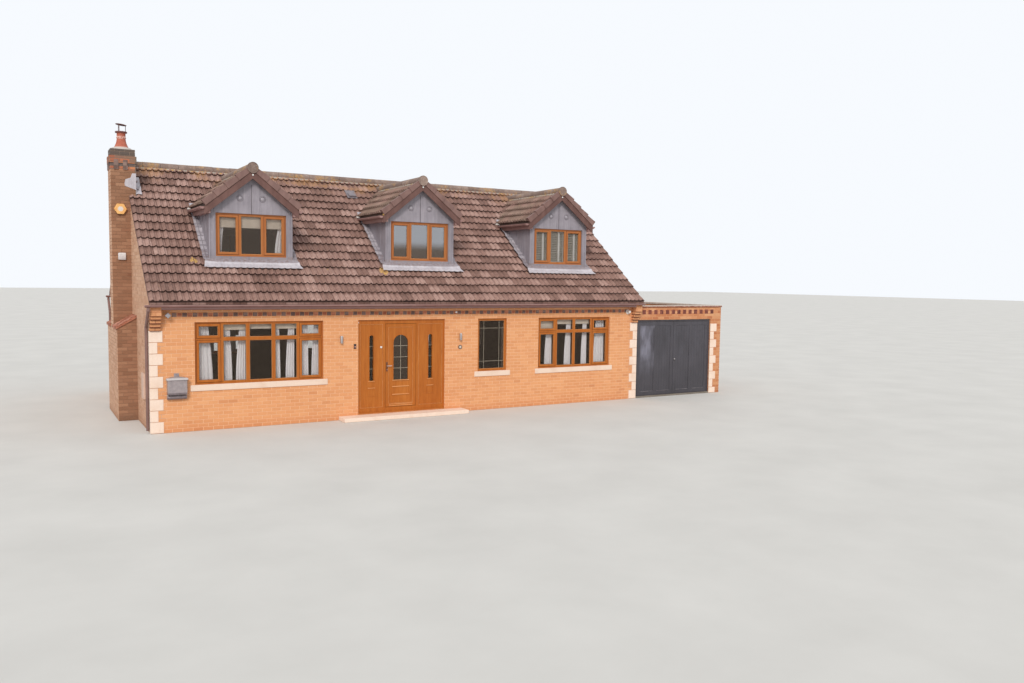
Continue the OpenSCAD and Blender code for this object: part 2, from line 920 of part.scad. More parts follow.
module front_door_frame() {
    side_panel_w = light_w + 2 * panel_side;
    color("peru") on_plot() translate([door_x, frame_set, door_z]) {
        difference() {
            along_y(0, frame_d) difference() {
                square([door_w, door_h]);
                translate([leaf_x - leaf_gap, leaf_z - leaf_gap])
                    square([leaf_w + 2 * leaf_gap, leaf_h + 2 * leaf_gap]);
                for (x = side_light_xs) arched_light(x, light_w, 0);
            }
            for (side = [[side_x0, side_w0], [side_x1, side_w1]])
                along_y(-1, moulding) translate([side[0], leaf_z])
                    square([side[1], leaf_h]);
            for (x = side_light_xs) side_glass(x);
        }
        for (x = side_light_xs) translate([0, moulding, 0]) mouldings(x, light_w, side_panel_w);
        block([0, -nose_out, 0], [door_w, 0, nose_h]);
        door_hinge_places() mirror([1, 0, 0]) frame_hinge();
    }
}

// the glass of a side light, held all round by its panel
module side_glass(x) {
    mid = (frame_d - glass_t) / 2;
    along_y(mid, mid + glass_t) arched_light(x, light_w, -glass_bite);
}

module front_door_leaf() {
    color("peru") on_plot() translate([door_x, frame_set, door_z]) {
        difference() {
            along_y(0, leaf_t) difference() {
                translate([leaf_x, leaf_z]) square([leaf_w, leaf_h]);
                arched_light(leaf_mid, arch_w, 0);
            }
            leaf_glass();
            along_y(-1, moulding) translate([leaf_x + leaf_stile_w, leaf_z + leaf_stile_w])
                square([leaf_w - 2 * leaf_stile_w, leaf_h - 2 * leaf_stile_w]);
        }
        translate([0, moulding, 0]) mouldings(leaf_mid, arch_w, panel_w);
        door_hinge_places() leaf_hinge(frame_d - leaf_t);
    }
}

module leaf_glass() {
    mid = (leaf_t - glass_t) / 2;
    along_y(mid, mid + glass_t) arched_light(leaf_mid, arch_w, -glass_bite);
}

// the hinge line of the front door, on the inner face of its frame
module door_hinge_places() {
    for (z = [hinge_end, leaf_h / 2, leaf_h - hinge_end])
        translate([hinge_x + leaf_gap / 2, frame_d + knuckle_d / 2, leaf_z + z]) children();
}

// a leaf's knuckle round the hinge line, on a plate that lies towards -X against
// a face at -Y, step further away than the knuckle itself
module leaf_hinge(step) {
    translate([0, 0, -knuckle_l / 2]) {
        hinge_part();
        translate([-plate_w, -knuckle_d / 2 - step, 0])
            cube([plate_w - leaf_gap / 2, knuckle_d / 2 + step, knuckle_l]);
    }
}

// the frame's knuckles above and below the leaf's, drawn the same way round
module frame_hinge() {
    for (side = [0, 1]) mirror([0, 0, side])
        translate([0, 0, knuckle_l / 2 + knuckle_gap]) {
            hinge_part();
            translate([-plate_w, -knuckle_d / 2, 0])
                cube([plate_w - leaf_gap / 2, knuckle_d / 2, knuckle_l]);
        }
}

// a knuckle with the tongue that joins it to its plate
module hinge_part() {
    cylinder(d = knuckle_d, h = knuckle_l);
    translate([-plate_w, -knuckle_d / 4, 0]) cube([plate_w, knuckle_d / 4, knuckle_l]);
}

module front_door_glass() {
    color("lightblue", 0.4) on_plot() translate([door_x, frame_set, door_z]) {
        leaf_glass();
    }
}

// a lever on a long plate, with the key's cylinder below it
module front_door_handle() {
    plate_x = leaf_x + leaf_stile_w / 2;
    plate_out = 8;
    neck_l = 35;
    lever_t = 16;
    color("gold") on_plot() translate([door_x + plate_x, frame_set, lever_z]) {
        block(
            [-leaf_stile_w / 5, -plate_out, -handle_plate_h * 0.6],
            [leaf_stile_w / 5, 0, handle_plate_h * 0.4]
        );
        translate([0, -plate_out, 0]) rotate([90, 0, 0]) cylinder(d = lever_t, h = neck_l);
        translate([-lever_t / 2, -plate_out - neck_l - lever_t / 2, -lever_t / 2])
            cube([lever_l, lever_t, lever_t]);
        translate([0, -plate_out, -handle_plate_h * 0.4]) rotate([90, 0, 0])
            cylinder(d = lever_t, h = plate_out);
    }
}

module front_step() {
    mid = door_x + door_w / 2;
    color("wheat") on_plot()
        block([mid - step_w / 2, -step_out, 0], [mid + step_w / 2, 0, step_h]);
}

module garage_pier() {
    color("burlywood") on_plot() block([garage_r, 0, 0], [pier_r, garage_t, parapet_z]);
}

module garage_lintel() {
    color("burlywood") on_plot()
        block([house_w, 0, garage_h], [garage_r, garage_t, parapet_z]);
}

module garage_side_wall() {
    color("burlywood") on_plot()
        block([pier_r - garage_t, garage_t, 0], [pier_r, garage_d - garage_t, parapet_z]);
}

module garage_rear_wall() {
    color("burlywood") on_plot()
        block([house_w, garage_d - garage_t, 0], [pier_r, garage_d, parapet_z]);
}

module garage_flat_roof() {
    color("dimgray") on_plot() block(
        [house_w, garage_t, flat_roof_z],
        [pier_r - garage_t, garage_d - garage_t, flat_roof_z + flat_roof_t]
    );
}

module garage_coping() {
    inner = garage_t + coping_out;
    color("lightgray") on_plot() difference() {
        block(
            [house_w, -coping_out, parapet_z],
            [pier_r + coping_out, garage_d + coping_out, parapet_z + coping_h]
        );
        block(
            [house_w - 1, inner, parapet_z - 1],
            [pier_r - inner, garage_d - inner, parapet_z + coping_h + 1]
        );
    }
}

module garage_door_frame() {
    color("dimgray") on_plot() {
        along_y(garage_set, garage_set + garage_frame_d) translate([house_w, 0])
            difference() {
                translate([0, garage_floor_h]) square([garage_w, garage_h - garage_floor_h]);
                translate([garage_frame_w, 0])
                    square([garage_w - 2 * garage_frame_w, garage_h - garage_frame_w]);
            }
        garage_hinge_places() mirror([0, 1, 0]) frame_hinge();
        mirror_garage() garage_hinge_places() mirror([0, 1, 0]) frame_hinge();
    }
}

// the left garage leaf
garage_leaf_w = garage_w / 2 - garage_frame_w - 1.5 * leaf_gap;
garage_leaf_x = house_w + garage_frame_w + leaf_gap;
garage_leaf_z = garage_floor_h + leaf_gap;
garage_leaf_h = garage_h - garage_frame_w - leaf_gap - garage_leaf_z;

// a framed leaf with two sunk panels
module garage_leaf() {
    sunk_w = (garage_leaf_w - 3 * stile_w) / 2;
    translate([garage_leaf_x, garage_set, garage_leaf_z]) difference() {
        cube([garage_leaf_w, garage_leaf_t, garage_leaf_h]);
        for (k = [0, 1]) translate([stile_w + k * (sunk_w + stile_w), -1, stile_w])
            cube([sunk_w, moulding + 1, garage_leaf_h - 2 * stile_w]);
    }
    garage_hinge_places() rotate([0, 0, 180]) leaf_hinge(0);
}

// the left leaf's hinge line, in front of its face
module garage_hinge_places() {
    for (z = [hinge_end, garage_leaf_h / 2, garage_leaf_h - hinge_end])
        translate([
            garage_leaf_x - leaf_gap / 2, garage_set - knuckle_d / 2, garage_leaf_z + z
        ]) children();
}

// the other side of the doorway
module mirror_garage() {
    translate([house_w + garage_r, 0, 0]) mirror([1, 0, 0]) children();
}

module garage_door_left() {
    color("dimgray") on_plot() garage_leaf();
}

module garage_door_right() {
    pull_d = 30;
    color("dimgray") on_plot() mirror_garage() {
        garage_leaf();
        translate([garage_leaf_x + garage_leaf_w - stile_w / 2, garage_set, pull_z])
            rotate([90, 0, 0]) cylinder(d = pull_d, h = garage_set / 2);
    }
}

// chimney values
stack_mid_y = stack_y + stack_w / 2;
breast_y0 = stack_mid_y - breast_w / 2;
breast_y1 = stack_mid_y + breast_w / 2;
breast_in_z = breast_z + stack_out * tan(shoulder_deg);
stack_mid_x = stack_w / 2 - stack_out;

module chimney_breast() {
    color("burlywood") on_plot() along_y(breast_y0, breast_y1) polygon([
        [-stack_out, 0], [0, 0], [0, breast_in_z], [-stack_out, breast_z]
    ]);
}

module chimney_shoulders() {
    lap = 35;
    v = shoulder_t / cos(shoulder_deg);
    profile = [
        [-stack_out - lap, breast_z - lap * tan(shoulder_deg) + bed], [0, breast_in_z + bed],
        [0, breast_in_z + v], [-stack_out - lap, breast_z - lap * tan(shoulder_deg) + v]
    ];
    color("indianred") on_plot() {
        along_y(breast_y0 - lap, stack_y) polygon(profile);
        along_y(stack_y + stack_w, breast_y1 + lap) polygon(profile);
    }
}

module chimney_stack() {
    color("burlywood") on_plot() {
        along_y(stack_y, stack_y + stack_w) polygon([
            [-stack_out, breast_z], [0, breast_in_z], [0, stack_z], [-stack_out, stack_z]
        ]);
        difference() {
            block([0, stack_y, 0], [stack_w - stack_out, stack_y + stack_w, stack_z]);
            below_main_roof();
        }
    }
}

// two flush courses, two that stand out, and two on top
module chimney_cap() {
    color("indianred") on_plot() translate([stack_mid_x, stack_mid_y, stack_z]) {
        for (row = [[0, 0], [2, corbel_out], [4, -corbel_out / 2]]) {
            side = stack_w + 2 * row[1];
            translate([-side / 2, -side / 2, row[0] * course]) cube([side, side, 2 * course]);
        }
        difference() {
            translate([0, 0, 6 * course])
                cylinder(d1 = stack_w - 2 * corbel_out, d2 = pot_d + corbel_out, h = flaunch_h);
            translate([0, 0, 6 * course]) pot_shaft(bed);
        }
    }
}

// the pot's shaft, which flares out to its foot, with a gap round it
module pot_shaft(gap) {
    rotate_extrude() polygon([
        [0, 0],
        for (t = [0 : 0.125 : 1])
            [neck_d / 2 + gap + (pot_d - neck_d) / 2 * (1 - t) * (1 - t), t * flare_h],
        [neck_d / 2 + gap, pot_h], [0, pot_h]
    ]);
}

// a flared pot with a ring and a rim, and over it a tilted disc on three posts
module chimney_pot() {
    rim_h = 32;
    ring_h = 22;
    ring_z = pot_h - 165;
    post_d = 14;
    disc_h = 12;
    color("indianred") on_plot()
        translate([stack_mid_x, stack_mid_y, stack_z + 6 * course]) {
            difference() {
                union() {
                    pot_shaft(0);
                    translate([0, 0, pot_h - rim_h]) cylinder(d = rim_d, h = rim_h);
                    translate([0, 0, ring_z]) cylinder(d = neck_d + ring_h, h = ring_h);
                }
                translate([0, 0, pot_t]) cylinder(d = neck_d - 2 * pot_t, h = pot_h);
            }
            translate([0, 0, pot_h + cowl_h]) rotate([0, cowl_tilt, 0])
                cylinder(d = cowl_d, h = disc_h);
            for (a = [0, 120, 240]) rotate([0, 0, a])
                translate([neck_d / 2, 0, pot_h - rim_h / 2]) cylinder(
                    d = post_d,
                    h = rim_h / 2 + cowl_h + disc_h / 2 - neck_d / 2 * cos(a) * tan(cowl_tilt),
                    $fn = 24
                );
        }
}

// the lead-clad gable front, scribed to the main roof at its foot
module dormer_fronts() {
    color("lightslategray") on_plot() front_and_rear() at_dormers() difference() {
        along_y(dormer_y, dormer_in_y) polygon([
            [-dormer_half, 0], [dormer_half, 0],
            [dormer_half, dormer_top(dormer_half) - dormer_roof_v - bed],
            [0, dormer_top(0) - dormer_roof_v - bed],
            [-dormer_half, dormer_top(dormer_half) - dormer_roof_v - bed]
        ]);
        below_main_roof();
        block(
            [-dormer_win_w / 2, 0, dormer_head_z - dormer_win_h],
            [dormer_win_w / 2, far, dormer_head_z]
        );
    }
}

module dormer_cheeks() {
    x0 = dormer_half - dormer_t;
    color("lightslategray") on_plot() front_and_rear() at_dormers()
        for (side = [0, 1]) mirror([side, 0, 0]) difference() {
            along_y(dormer_in_y, far) polygon([
                [x0, 0], [dormer_half, 0],
                [dormer_half, dormer_top(dormer_half) - dormer_roof_v - bed],
                [x0, dormer_top(x0) - dormer_roof_v - bed]
            ]);
            below_main_roof();
        }
}

// tiles that lap the cheeks, on boards between them
module dormer_roofs() {
    color("rosybrown") on_plot() front_and_rear() at_dormers() difference() {
        union() {
            along_y(dormer_y - dormer_front, far)
                chevron(dormer_edge, 0, dormer_tile_v);
            along_y(dormer_y, far)
                chevron(dormer_half, dormer_tile_v / 2, dormer_roof_v);
        }
        below_main_roof();
    }
}

// a band under the dormer's tile line, from top down to bottom, both slopes
module chevron(half, top, bottom) {
    polygon([
        [-half, dormer_top(half) - top], [0, dormer_top(0) - top],
        [half, dormer_top(half) - top], [half, dormer_top(half) - bottom],
        [0, dormer_top(0) - bottom], [-half, dormer_top(half) - bottom]
    ]);
}

module dormer_bargeboards() {
    y0 = dormer_y - dormer_front;
    color("saddlebrown") on_plot() front_and_rear() at_dormers()
        along_y(y0, y0 + barge_t)
            chevron(dormer_edge, dormer_tile_v + bed, dormer_tile_v + barge_h / cos(dormer_pitch_deg));
}

// lead dressed over the tiles: an apron under each window and a strip up
// each cheek
module dormer_flashings() {
    color("silver") on_plot() front_and_rear() at_dormers() {
        along_x(-dormer_half - soaker_out, dormer_half + soaker_out)
            on_tiles(dormer_y - apron_out, dormer_y);
        for (side = [0, 1]) mirror([side, 0, 0])
            along_x(dormer_half, dormer_half + soaker_out)
                on_tiles(dormer_y, roof_back(dormer_soffit_z) - dormer_out);
    }
}

// a strip of lead on the front slope from y0 to y1
module on_tiles(y0, y1) {
    polygon([
        [y0, roof_top(y0) + bed], [y1, roof_top(y1) + bed],
        [y1, roof_top(y1) + bed + lead_t], [y0, roof_top(y0) + bed + lead_t]
    ]);
}

// a wall box: a round holder, a slot over it, the body and a pitched lid with
// a crest against the wall
module letter_box() {
    holder_d = 100;
    slot_h = 15;
    lid_h = 85;
    lid_out = 20;
    crest_h = 147;
    crest_w = 110;
    body_z = holder_d + slot_h;
    mid = box_w / 2;
    color("slategray") on_plot() translate([box_x, 0, box_z]) {
        along_x(0, box_w) translate([-holder_d / 2, holder_d / 2]) circle(d = holder_d);
        block([0, -holder_d / 2, 0], [box_w, 0, body_z]);
        block([0, -box_d, body_z], [box_w, 0, box_h]);
        along_y(-box_d - lid_out, 0) polygon([
            [-lid_out, box_h], [box_w + lid_out, box_h], [box_w + lid_out, box_h + lid_h / 2],
            [mid, box_h + lid_h], [-lid_out, box_h + lid_h / 2]
        ]);
        along_y(-lid_out, 0) translate([mid - crest_w / 2, box_h]) square([crest_w, crest_h]);
    }
}

module wall_lamps() {
    stem = 15;
    color("dimgray") on_plot()
        for (x = [door_x - lamp_gap, door_right + lamp_gap])
            translate([x, -lamp_d / 2 - stem, lamp_z - lamp_h / 2]) {
                cylinder(d = lamp_d, h = lamp_h);
                block([-lamp_d / 4, 0, lamp_h / 3], [lamp_d / 4, lamp_d / 2 + stem, lamp_h * 2 / 3]);
            }
}

// tilted floodlight, globe light and small light under the eaves, door bell,
// plaque, and the cabinet for the meters
module wall_fittings() {
    arm = 60;
    small_light_d = 60;
    push_w = 60;
    plate = 20;
    color("gainsboro") on_plot() {
        translate([box_x + flood_w / 3, -arm - flood_w / 2, flood_z]) {
            rotate([0, 45, 0]) cube([flood_w, flood_w, flood_w], center = true);
            rotate([-90, 0, 0]) cylinder(d = flood_w / 3, h = arm + flood_w / 2);
        }
        translate([house_w - globe_from_right, 0, flood_z - plate]) {
            translate([0, -globe_d, 0]) sphere(d = globe_d);
            rotate([90, 0, 0]) cylinder(d = globe_d * 2 / 3, h = globe_d);
            rotate([90, 0, 0]) cylinder(d = globe_d * 1.6, h = plate);
        }
        translate([door_right + lamp_gap * 2 / 3, 0, flood_z + plate]) {
            translate([0, -small_light_d, 0]) sphere(d = small_light_d);
            rotate([90, 0, 0]) cylinder(d = small_light_d / 2, h = small_light_d);
        }
        translate([door_x - 1.5 * push_w, 0, lamp_z - lamp_h])
            block([-push_w / 2, -plate, -push_w], [push_w / 2, 0, push_w]);
        translate([door_right + lamp_gap, 0, plaque_z]) rotate([90, 0, 0])
            cylinder(d = plaque_d, h = plate);
        translate([0, meter_y, meter_z])
            block([-2 * plate, -meter_w / 2, 0], [0, meter_w / 2, meter_h]);
    }
}

module alarm_boxes() {
    bell_t = 80;
    receiver_t = 60;
    color("khaki") on_plot() {
        translate([stack_mid_x - bell_t / 4, stack_y, bell_z]) rotate([90, 0, 0])
            cylinder(d = bell_w, h = bell_t, $fn = 6);
        translate([stack_mid_x - receiver_t, stack_y, receiver_z])
            block([-receiver_w / 2, -receiver_t, -receiver_w / 2], [receiver_w / 2, 0, receiver_w / 2]);
    }
}

floor_slabs();
front_wall_left();
front_wall_right();
front_door_lintel();
rear_wall();
left_gable_wall();
right_gable_wall();
first_floor_deck();
roof_lower_slopes();
roof_bay_slopes();
front_roof_upper_slope();
rear_roof_upper_slope();
ridge_tiles();
eaves_boards();
gutters();
downpipes();
kneelers();
quoins();
window_frames();
window_glass();
window_sills();
front_door_frame();
front_door_leaf();
front_door_glass();
front_door_handle();
front_step();
garage_pier();
garage_lintel();
garage_side_wall();
garage_rear_wall();
garage_flat_roof();
garage_coping();
garage_door_frame();
garage_door_left();
garage_door_right();
chimney_breast();
chimney_shoulders();
chimney_stack();
chimney_cap();
chimney_pot();
dormer_fronts();
dormer_cheeks();
dormer_roofs();
dormer_bargeboards();
dormer_flashings();
letter_box();
wall_lamps();
wall_fittings();
alarm_boxes();
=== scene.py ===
# A detached brick house with lead-clad dormers, a gable chimney and a flat-roofed
# garage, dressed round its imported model. All lengths are in metres.
import math

import bpy
import numpy as np
from mathutils import Matrix, Vector


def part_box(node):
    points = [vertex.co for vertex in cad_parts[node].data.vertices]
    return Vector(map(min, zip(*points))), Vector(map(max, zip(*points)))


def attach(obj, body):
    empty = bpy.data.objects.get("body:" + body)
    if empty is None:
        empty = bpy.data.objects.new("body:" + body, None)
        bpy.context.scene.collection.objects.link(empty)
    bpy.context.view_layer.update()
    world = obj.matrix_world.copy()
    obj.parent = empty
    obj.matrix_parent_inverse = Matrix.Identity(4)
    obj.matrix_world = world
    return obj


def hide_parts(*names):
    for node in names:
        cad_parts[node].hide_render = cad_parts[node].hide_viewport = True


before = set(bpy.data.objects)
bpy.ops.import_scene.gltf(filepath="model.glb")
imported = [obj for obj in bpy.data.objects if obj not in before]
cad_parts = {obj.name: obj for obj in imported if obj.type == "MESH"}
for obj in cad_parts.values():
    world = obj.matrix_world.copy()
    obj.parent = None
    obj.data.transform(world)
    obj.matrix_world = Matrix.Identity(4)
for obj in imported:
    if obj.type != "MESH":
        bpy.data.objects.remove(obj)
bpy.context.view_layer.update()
LEFT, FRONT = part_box("left_gable_wall")[0].x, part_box("left_gable_wall")[0].y
RIGHT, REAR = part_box("right_gable_wall")[1].x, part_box("right_gable_wall")[1].y
GARAGE_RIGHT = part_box("garage_pier")[1].x
GARAGE_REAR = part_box("garage_rear_wall")[1].y

# Camera, light and ground
# The camera stands left of the house at about first floor height, where the
# courses and the roof lines of the picture put it.
YAW, DOWN, ROLL = 0.5319, 0.0737, 0.0141
look = Vector((math.sin(YAW) * math.cos(DOWN), math.cos(YAW) * math.cos(DOWN), -math.sin(DOWN)))
across = Vector((math.cos(YAW), -math.sin(YAW), 0))
up = across.cross(look)
cam_x = across * math.cos(ROLL) + up * math.sin(ROLL)
cam_y = up * math.cos(ROLL) - across * math.sin(ROLL)
camera = bpy.data.objects.new("camera", bpy.data.cameras.new("camera"))
bpy.context.collection.objects.link(camera)
camera.data.sensor_width = 36
camera.data.lens = 29.89
camera.matrix_world = Matrix.Translation((-9.520, -24.528, 3.604)) @ Matrix(
    (cam_x, cam_y, -look)
).transposed().to_4x4()
bpy.context.scene.camera = camera

sun = bpy.data.objects.new("sun", bpy.data.lights.new("sun", "SUN"))
bpy.context.collection.objects.link(sun)
sun.data.energy = 1.9
sun.data.angle = math.radians(14)
sun.data.color = (1.0, 0.97, 0.92)
sun.rotation_euler = Vector((0.42, 0.70, -0.58)).to_track_quat("-Z", "Y").to_euler()

# the sky shows a little brighter than it lights
world = bpy.data.worlds.new("sky")
bpy.context.scene.world = world
world.use_nodes = True
sky = world.node_tree
sky.nodes.clear()
sky_out = sky.nodes.new("ShaderNodeOutputWorld")
seen = sky.nodes.new("ShaderNodeBackground")
seen.inputs["Color"].default_value = (0.93, 0.96, 1.0, 1)
seen.inputs["Strength"].default_value = 1.0
lit = sky.nodes.new("ShaderNodeBackground")
lit.inputs["Color"].default_value = (0.92, 0.96, 1.0, 1)
lit.inputs["Strength"].default_value = 0.75
path = sky.nodes.new("ShaderNodeLightPath")
either = sky.nodes.new("ShaderNodeMath")
either.operation = "MAXIMUM"
sky.links.new(path.outputs["Is Camera Ray"], either.inputs[0])
sky.links.new(path.outputs["Is Transmission Ray"], either.inputs[1])
any_of = sky.nodes.new("ShaderNodeMath")
any_of.operation = "MAXIMUM"
sky.links.new(either.outputs[0], any_of.inputs[0])
sky.links.new(path.outputs["Is Glossy Ray"], any_of.inputs[1])
choose = sky.nodes.new("ShaderNodeMixShader")
sky.links.new(any_of.outputs[0], choose.inputs[0])
sky.links.new(lit.outputs[0], choose.inputs[1])
sky.links.new(seen.outputs[0], choose.inputs[2])
sky.links.new(choose.outputs[0], sky_out.inputs["Surface"])
bpy.context.scene.view_settings.view_transform = "Standard"


def deselect():
    if bpy.context.object and bpy.context.object.mode != "OBJECT":
        bpy.ops.object.mode_set(mode="OBJECT")
    bpy.ops.object.select_all(action="DESELECT")


deselect()
bpy.ops.mesh.primitive_plane_add(size=400, location=(0, 0, -0.002))
ground = bpy.context.object
ground.name = "ground"


# Finishes
# A material is written as an expression on the object's own coordinates: each
# operator on a Wire adds the Math node that it stands for.
class Wire:
    """One shader socket, with operators that add Math nodes after it."""

    def __init__(self, tree, out):
        self.tree, self.out = tree, out

    def node(self, kind, sockets, out=0, stops=None, **settings):
        """Any node: its settings first, then values or wires for its sockets."""
        made = self.tree.nodes.new("ShaderNode" + kind)
        for key, value in settings.items():
            setattr(made, key, value)
        if stops:
            ramp = made.color_ramp.elements
            while len(ramp) < len(stops):
                ramp.new(0.5)
            for stop, (place, colour) in zip(ramp, stops):
                stop.position, stop.color = place, colour
        for key, value in sockets.items():
            if isinstance(value, Wire):
                self.tree.links.new(value.out, made.inputs[key])
            else:
                made.inputs[key].default_value = value
        return Wire(self.tree, made.outputs[out])

    def maths(self, operation, *values):
        return self.node("Math", dict(enumerate(values)), operation=operation)

    def __add__(self, other):
        return self.maths("ADD", self, other)

    def __radd__(self, other):
        return self.maths("ADD", other, self)

    def __sub__(self, other):
        return self.maths("SUBTRACT", self, other)

    def __rsub__(self, other):
        return self.maths("SUBTRACT", other, self)

    def __mul__(self, other):
        return self.maths("MULTIPLY", self, other)

    def __rmul__(self, other):
        return self.maths("MULTIPLY", other, self)

    def __truediv__(self, other):
        return self.maths("DIVIDE", self, other)

    def __gt__(self, other):
        return self.maths("GREATER_THAN", self, other)

    def __lt__(self, other):
        return self.maths("LESS_THAN", self, other)

    def floor(self):
        return self.maths("FLOOR", self)

    def fract(self):
        return self.maths("FRACT", self)

    def abs(self):
        return self.maths("ABSOLUTE", self)

    def least(self, other):
        return self.maths("MINIMUM", self, other)

    def most(self, other):
        return self.maths("MAXIMUM", self, other)

    def ramp(self, low, high):
        """0 below low and 1 above high, smooth between."""
        return self.node(
            "MapRange", {"Value": self, "From Min": low, "From Max": high},
            interpolation_type="SMOOTHSTEP",
        )

    def part(self, axis):
        return self.node("SeparateXYZ", {0: self}, out="XYZ".index(axis))

    def point(self, y, z):
        return self.node("CombineXYZ", {0: self, 1: y, 2: z})

    def stretched(self, x, y, z):
        return self.node("VectorMath", {0: self, 1: (x, y, z)}, operation="MULTIPLY")

    def noise(self, scale, detail=3, rough=0.55):
        return self.node(
            "TexNoise", {"Vector": self, "Scale": scale, "Detail": detail, "Roughness": rough}
        )

    def cell(self):
        """A fixed random number for each whole-number point."""
        return self.node("TexWhiteNoise", {"Vector": self})

    def spots(self, scale):
        """Distance from scattered points."""
        return self.node("TexVoronoi", {"Vector": self, "Scale": scale})

    def colours(self, *stops):
        return self.node("ValToRGB", {0: self}, stops=stops)

    def mix(self, low, high):
        """From colour low to colour high as this wire goes from 0 to 1."""
        return self.node("Mix", {0: self, 6: low, 7: high}, out=2, data_type="RGBA")

    def tinted(self, factor, colour):
        """This colour, multiplied by another as the factor goes to 1."""
        return self.node(
            "Mix", {0: factor, 6: self, 7: colour}, out=2, data_type="RGBA",
            blend_type="MULTIPLY")

    def bump(self, strength, distance):
        return self.node(
            "Bump", {"Height": self, "Strength": strength, "Distance": distance}
        )


def rgb(red, green, blue):
    """A colour as a picture shows it, 0 to 255, made linear for the shader."""
    return tuple(
        c / 255 / 12.92 if c < 11 else ((c / 255 + 0.055) / 1.055) ** 2.4
        for c in (red, green, blue)
    ) + (1.0,)


def finish(name, **sockets):
    """A material with a Principled shader; returns it and its object point."""
    made = bpy.data.materials.new(name)
    made.use_nodes = True
    tree = made.node_tree
    shader = tree.nodes["Principled BSDF"]
    for key, value in sockets.items():
        shader.inputs[key.replace("_", " ")].default_value = value
    where = tree.nodes.new("ShaderNodeTexCoord")
    return made, Wire(tree, where.outputs["Object"])


def wear(made, **sockets):
    """Feeds wires to the Principled shader of a material."""
    shader = made.node_tree.nodes["Principled BSDF"]
    for key, value in sockets.items():
        made.node_tree.links.new(value.out, shader.inputs[key.replace("_", " ")])


def mottled(name, scale, detail, dark, pale, low=0.3, high=0.7, **sockets):
    """A finish of two shades in patches."""
    made, at = finish(name, **sockets)
    wear(made, Base_Color=at.noise(scale, detail).colours((low, dark), (high, pale)))
    return made


def dress(made, *nodes):
    """Gives CAD nodes a material."""
    for name in nodes:
        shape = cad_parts[name]
        for place in range(max(1, len(shape.data.materials))):
            if place < len(shape.data.materials):
                shape.data.materials[place] = made
            else:
                shape.data.materials.append(made)


def keep(piece, name, made, body="house"):
    """Names a finished piece, colours it and lets it ride on its body."""
    piece.name = piece.data.name = name
    piece.data.materials.clear()
    piece.data.materials.append(made)
    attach(piece, body)
    return piece


ground.data.materials.append(
    mottled("pale_ground", 0.6, 4, rgb(206, 203, 198), rgb(214, 211, 206), Roughness=0.9))


# Brickwork
# The walls are laid in stretcher bond, 225 mm by 86 mm a brick with its joint,
# in buff facing bricks with flush pale mortar. The same courses are drawn on
# the solid walls, so that the reveals and the joints behind the bricks agree.
BRICK, COURSE, JOINT = 0.225, 0.086, 0.010


def plaster(at):
    """The plaster of the rooms, painted dark and brown as the shade inside them that the windows show."""
    return at.noise(7, 3).colours((0.3, rgb(120, 104, 90)), (0.7, rgb(134, 117, 102)))


def brick_finish(name, stops, mortar, foot=None, shaded_beds=None, banded=False, vary=0.6):
    """Fired bricks, each its own shade, on the bond's own zero."""
    made, at = finish(name, Roughness=0.85)
    facing = at.tree.nodes.new("ShaderNodeTexCoord")
    sideways = Wire(at.tree, facing.outputs["Normal"]).part("X").abs() > 0.5
    x, y, z = at.part("X") - LEFT, at.part("Y") - FRONT, at.part("Z")
    along = x + sideways * (y - x)
    row = (z / COURSE).floor()
    shifted = along / BRICK + row * 0.5
    brick = shifted.floor()
    to_end = (0.5 - (shifted.fract() - 0.5).abs()) * BRICK
    to_bed = (0.5 - ((z / COURSE).fract() - 0.5).abs()) * COURSE
    soft = at.noise(90, 2)
    inside = (to_end.least(to_bed) + soft * 0.002).ramp(0.0052, 0.0068)
    one = brick.point(row, sideways).cell()
    two = (brick + 40).point(row, sideways).cell()
    grain = at.noise(55, 5, 0.7)
    colour = (one * vary + grain * (1 - vary)).colours(*stops)
    colour = colour.tinted(at.noise(0.9, 3).ramp(0.35, 0.75) * 0.10, rgb(206, 150, 118))
    colour = colour.tinted((two > 0.95) * vary * 0.4, rgb(190, 130, 100))
    if foot:
        colour = ((0.24 - z).ramp(0.0, 0.2) * (0.3 + one * 0.5)).mix(colour, foot)
    if banded:
        # the cap: a dark band, and two dark courses at the top, under pale mortar
        course = ((z - CAP_FOOT) / COURSE).floor()
        blue = (course - 1).abs() < 0.5
        top = (course > 3.5) * (two < 0.97)
        colour = blue.most((one > 0.84) * 0.7).mix(colour, rgb(104, 92, 88))
        colour = (top * 0.95).mix(colour, rgb(92, 84, 78))
    if shaded_beds:
        # the stepped courses of the kneelers have deep beds, painted dark and wide as the shade under each
        # step
        low, high = shaded_beds
        deep = (z > low) * (z < high)
        mortar = deep.mix(mortar, rgb(132, 78, 52))
        inside = inside.least(1 - deep * (to_bed < 0.016))
    seen = inside.mix(mortar, colour)
    if banded:
        seen = (z > CAP_FOOT + 6 * COURSE - 0.003).mix(seen, rgb(196, 186, 178))
    within = (x - 0.12).least(WIDE - 0.12 - x).least((y - 0.12).least(DEEP - 0.12 - y))
    plastered = within > 0
    wear(
        made,
        Base_Color=plastered.mix(seen, plaster(at)),
        Roughness=0.78 + grain * 0.2,
        Normal=((inside * 0.8 + grain * 0.5 + soft * 0.2) * (1 - plastered)).bump(0.4, 0.004),
    )
    return made


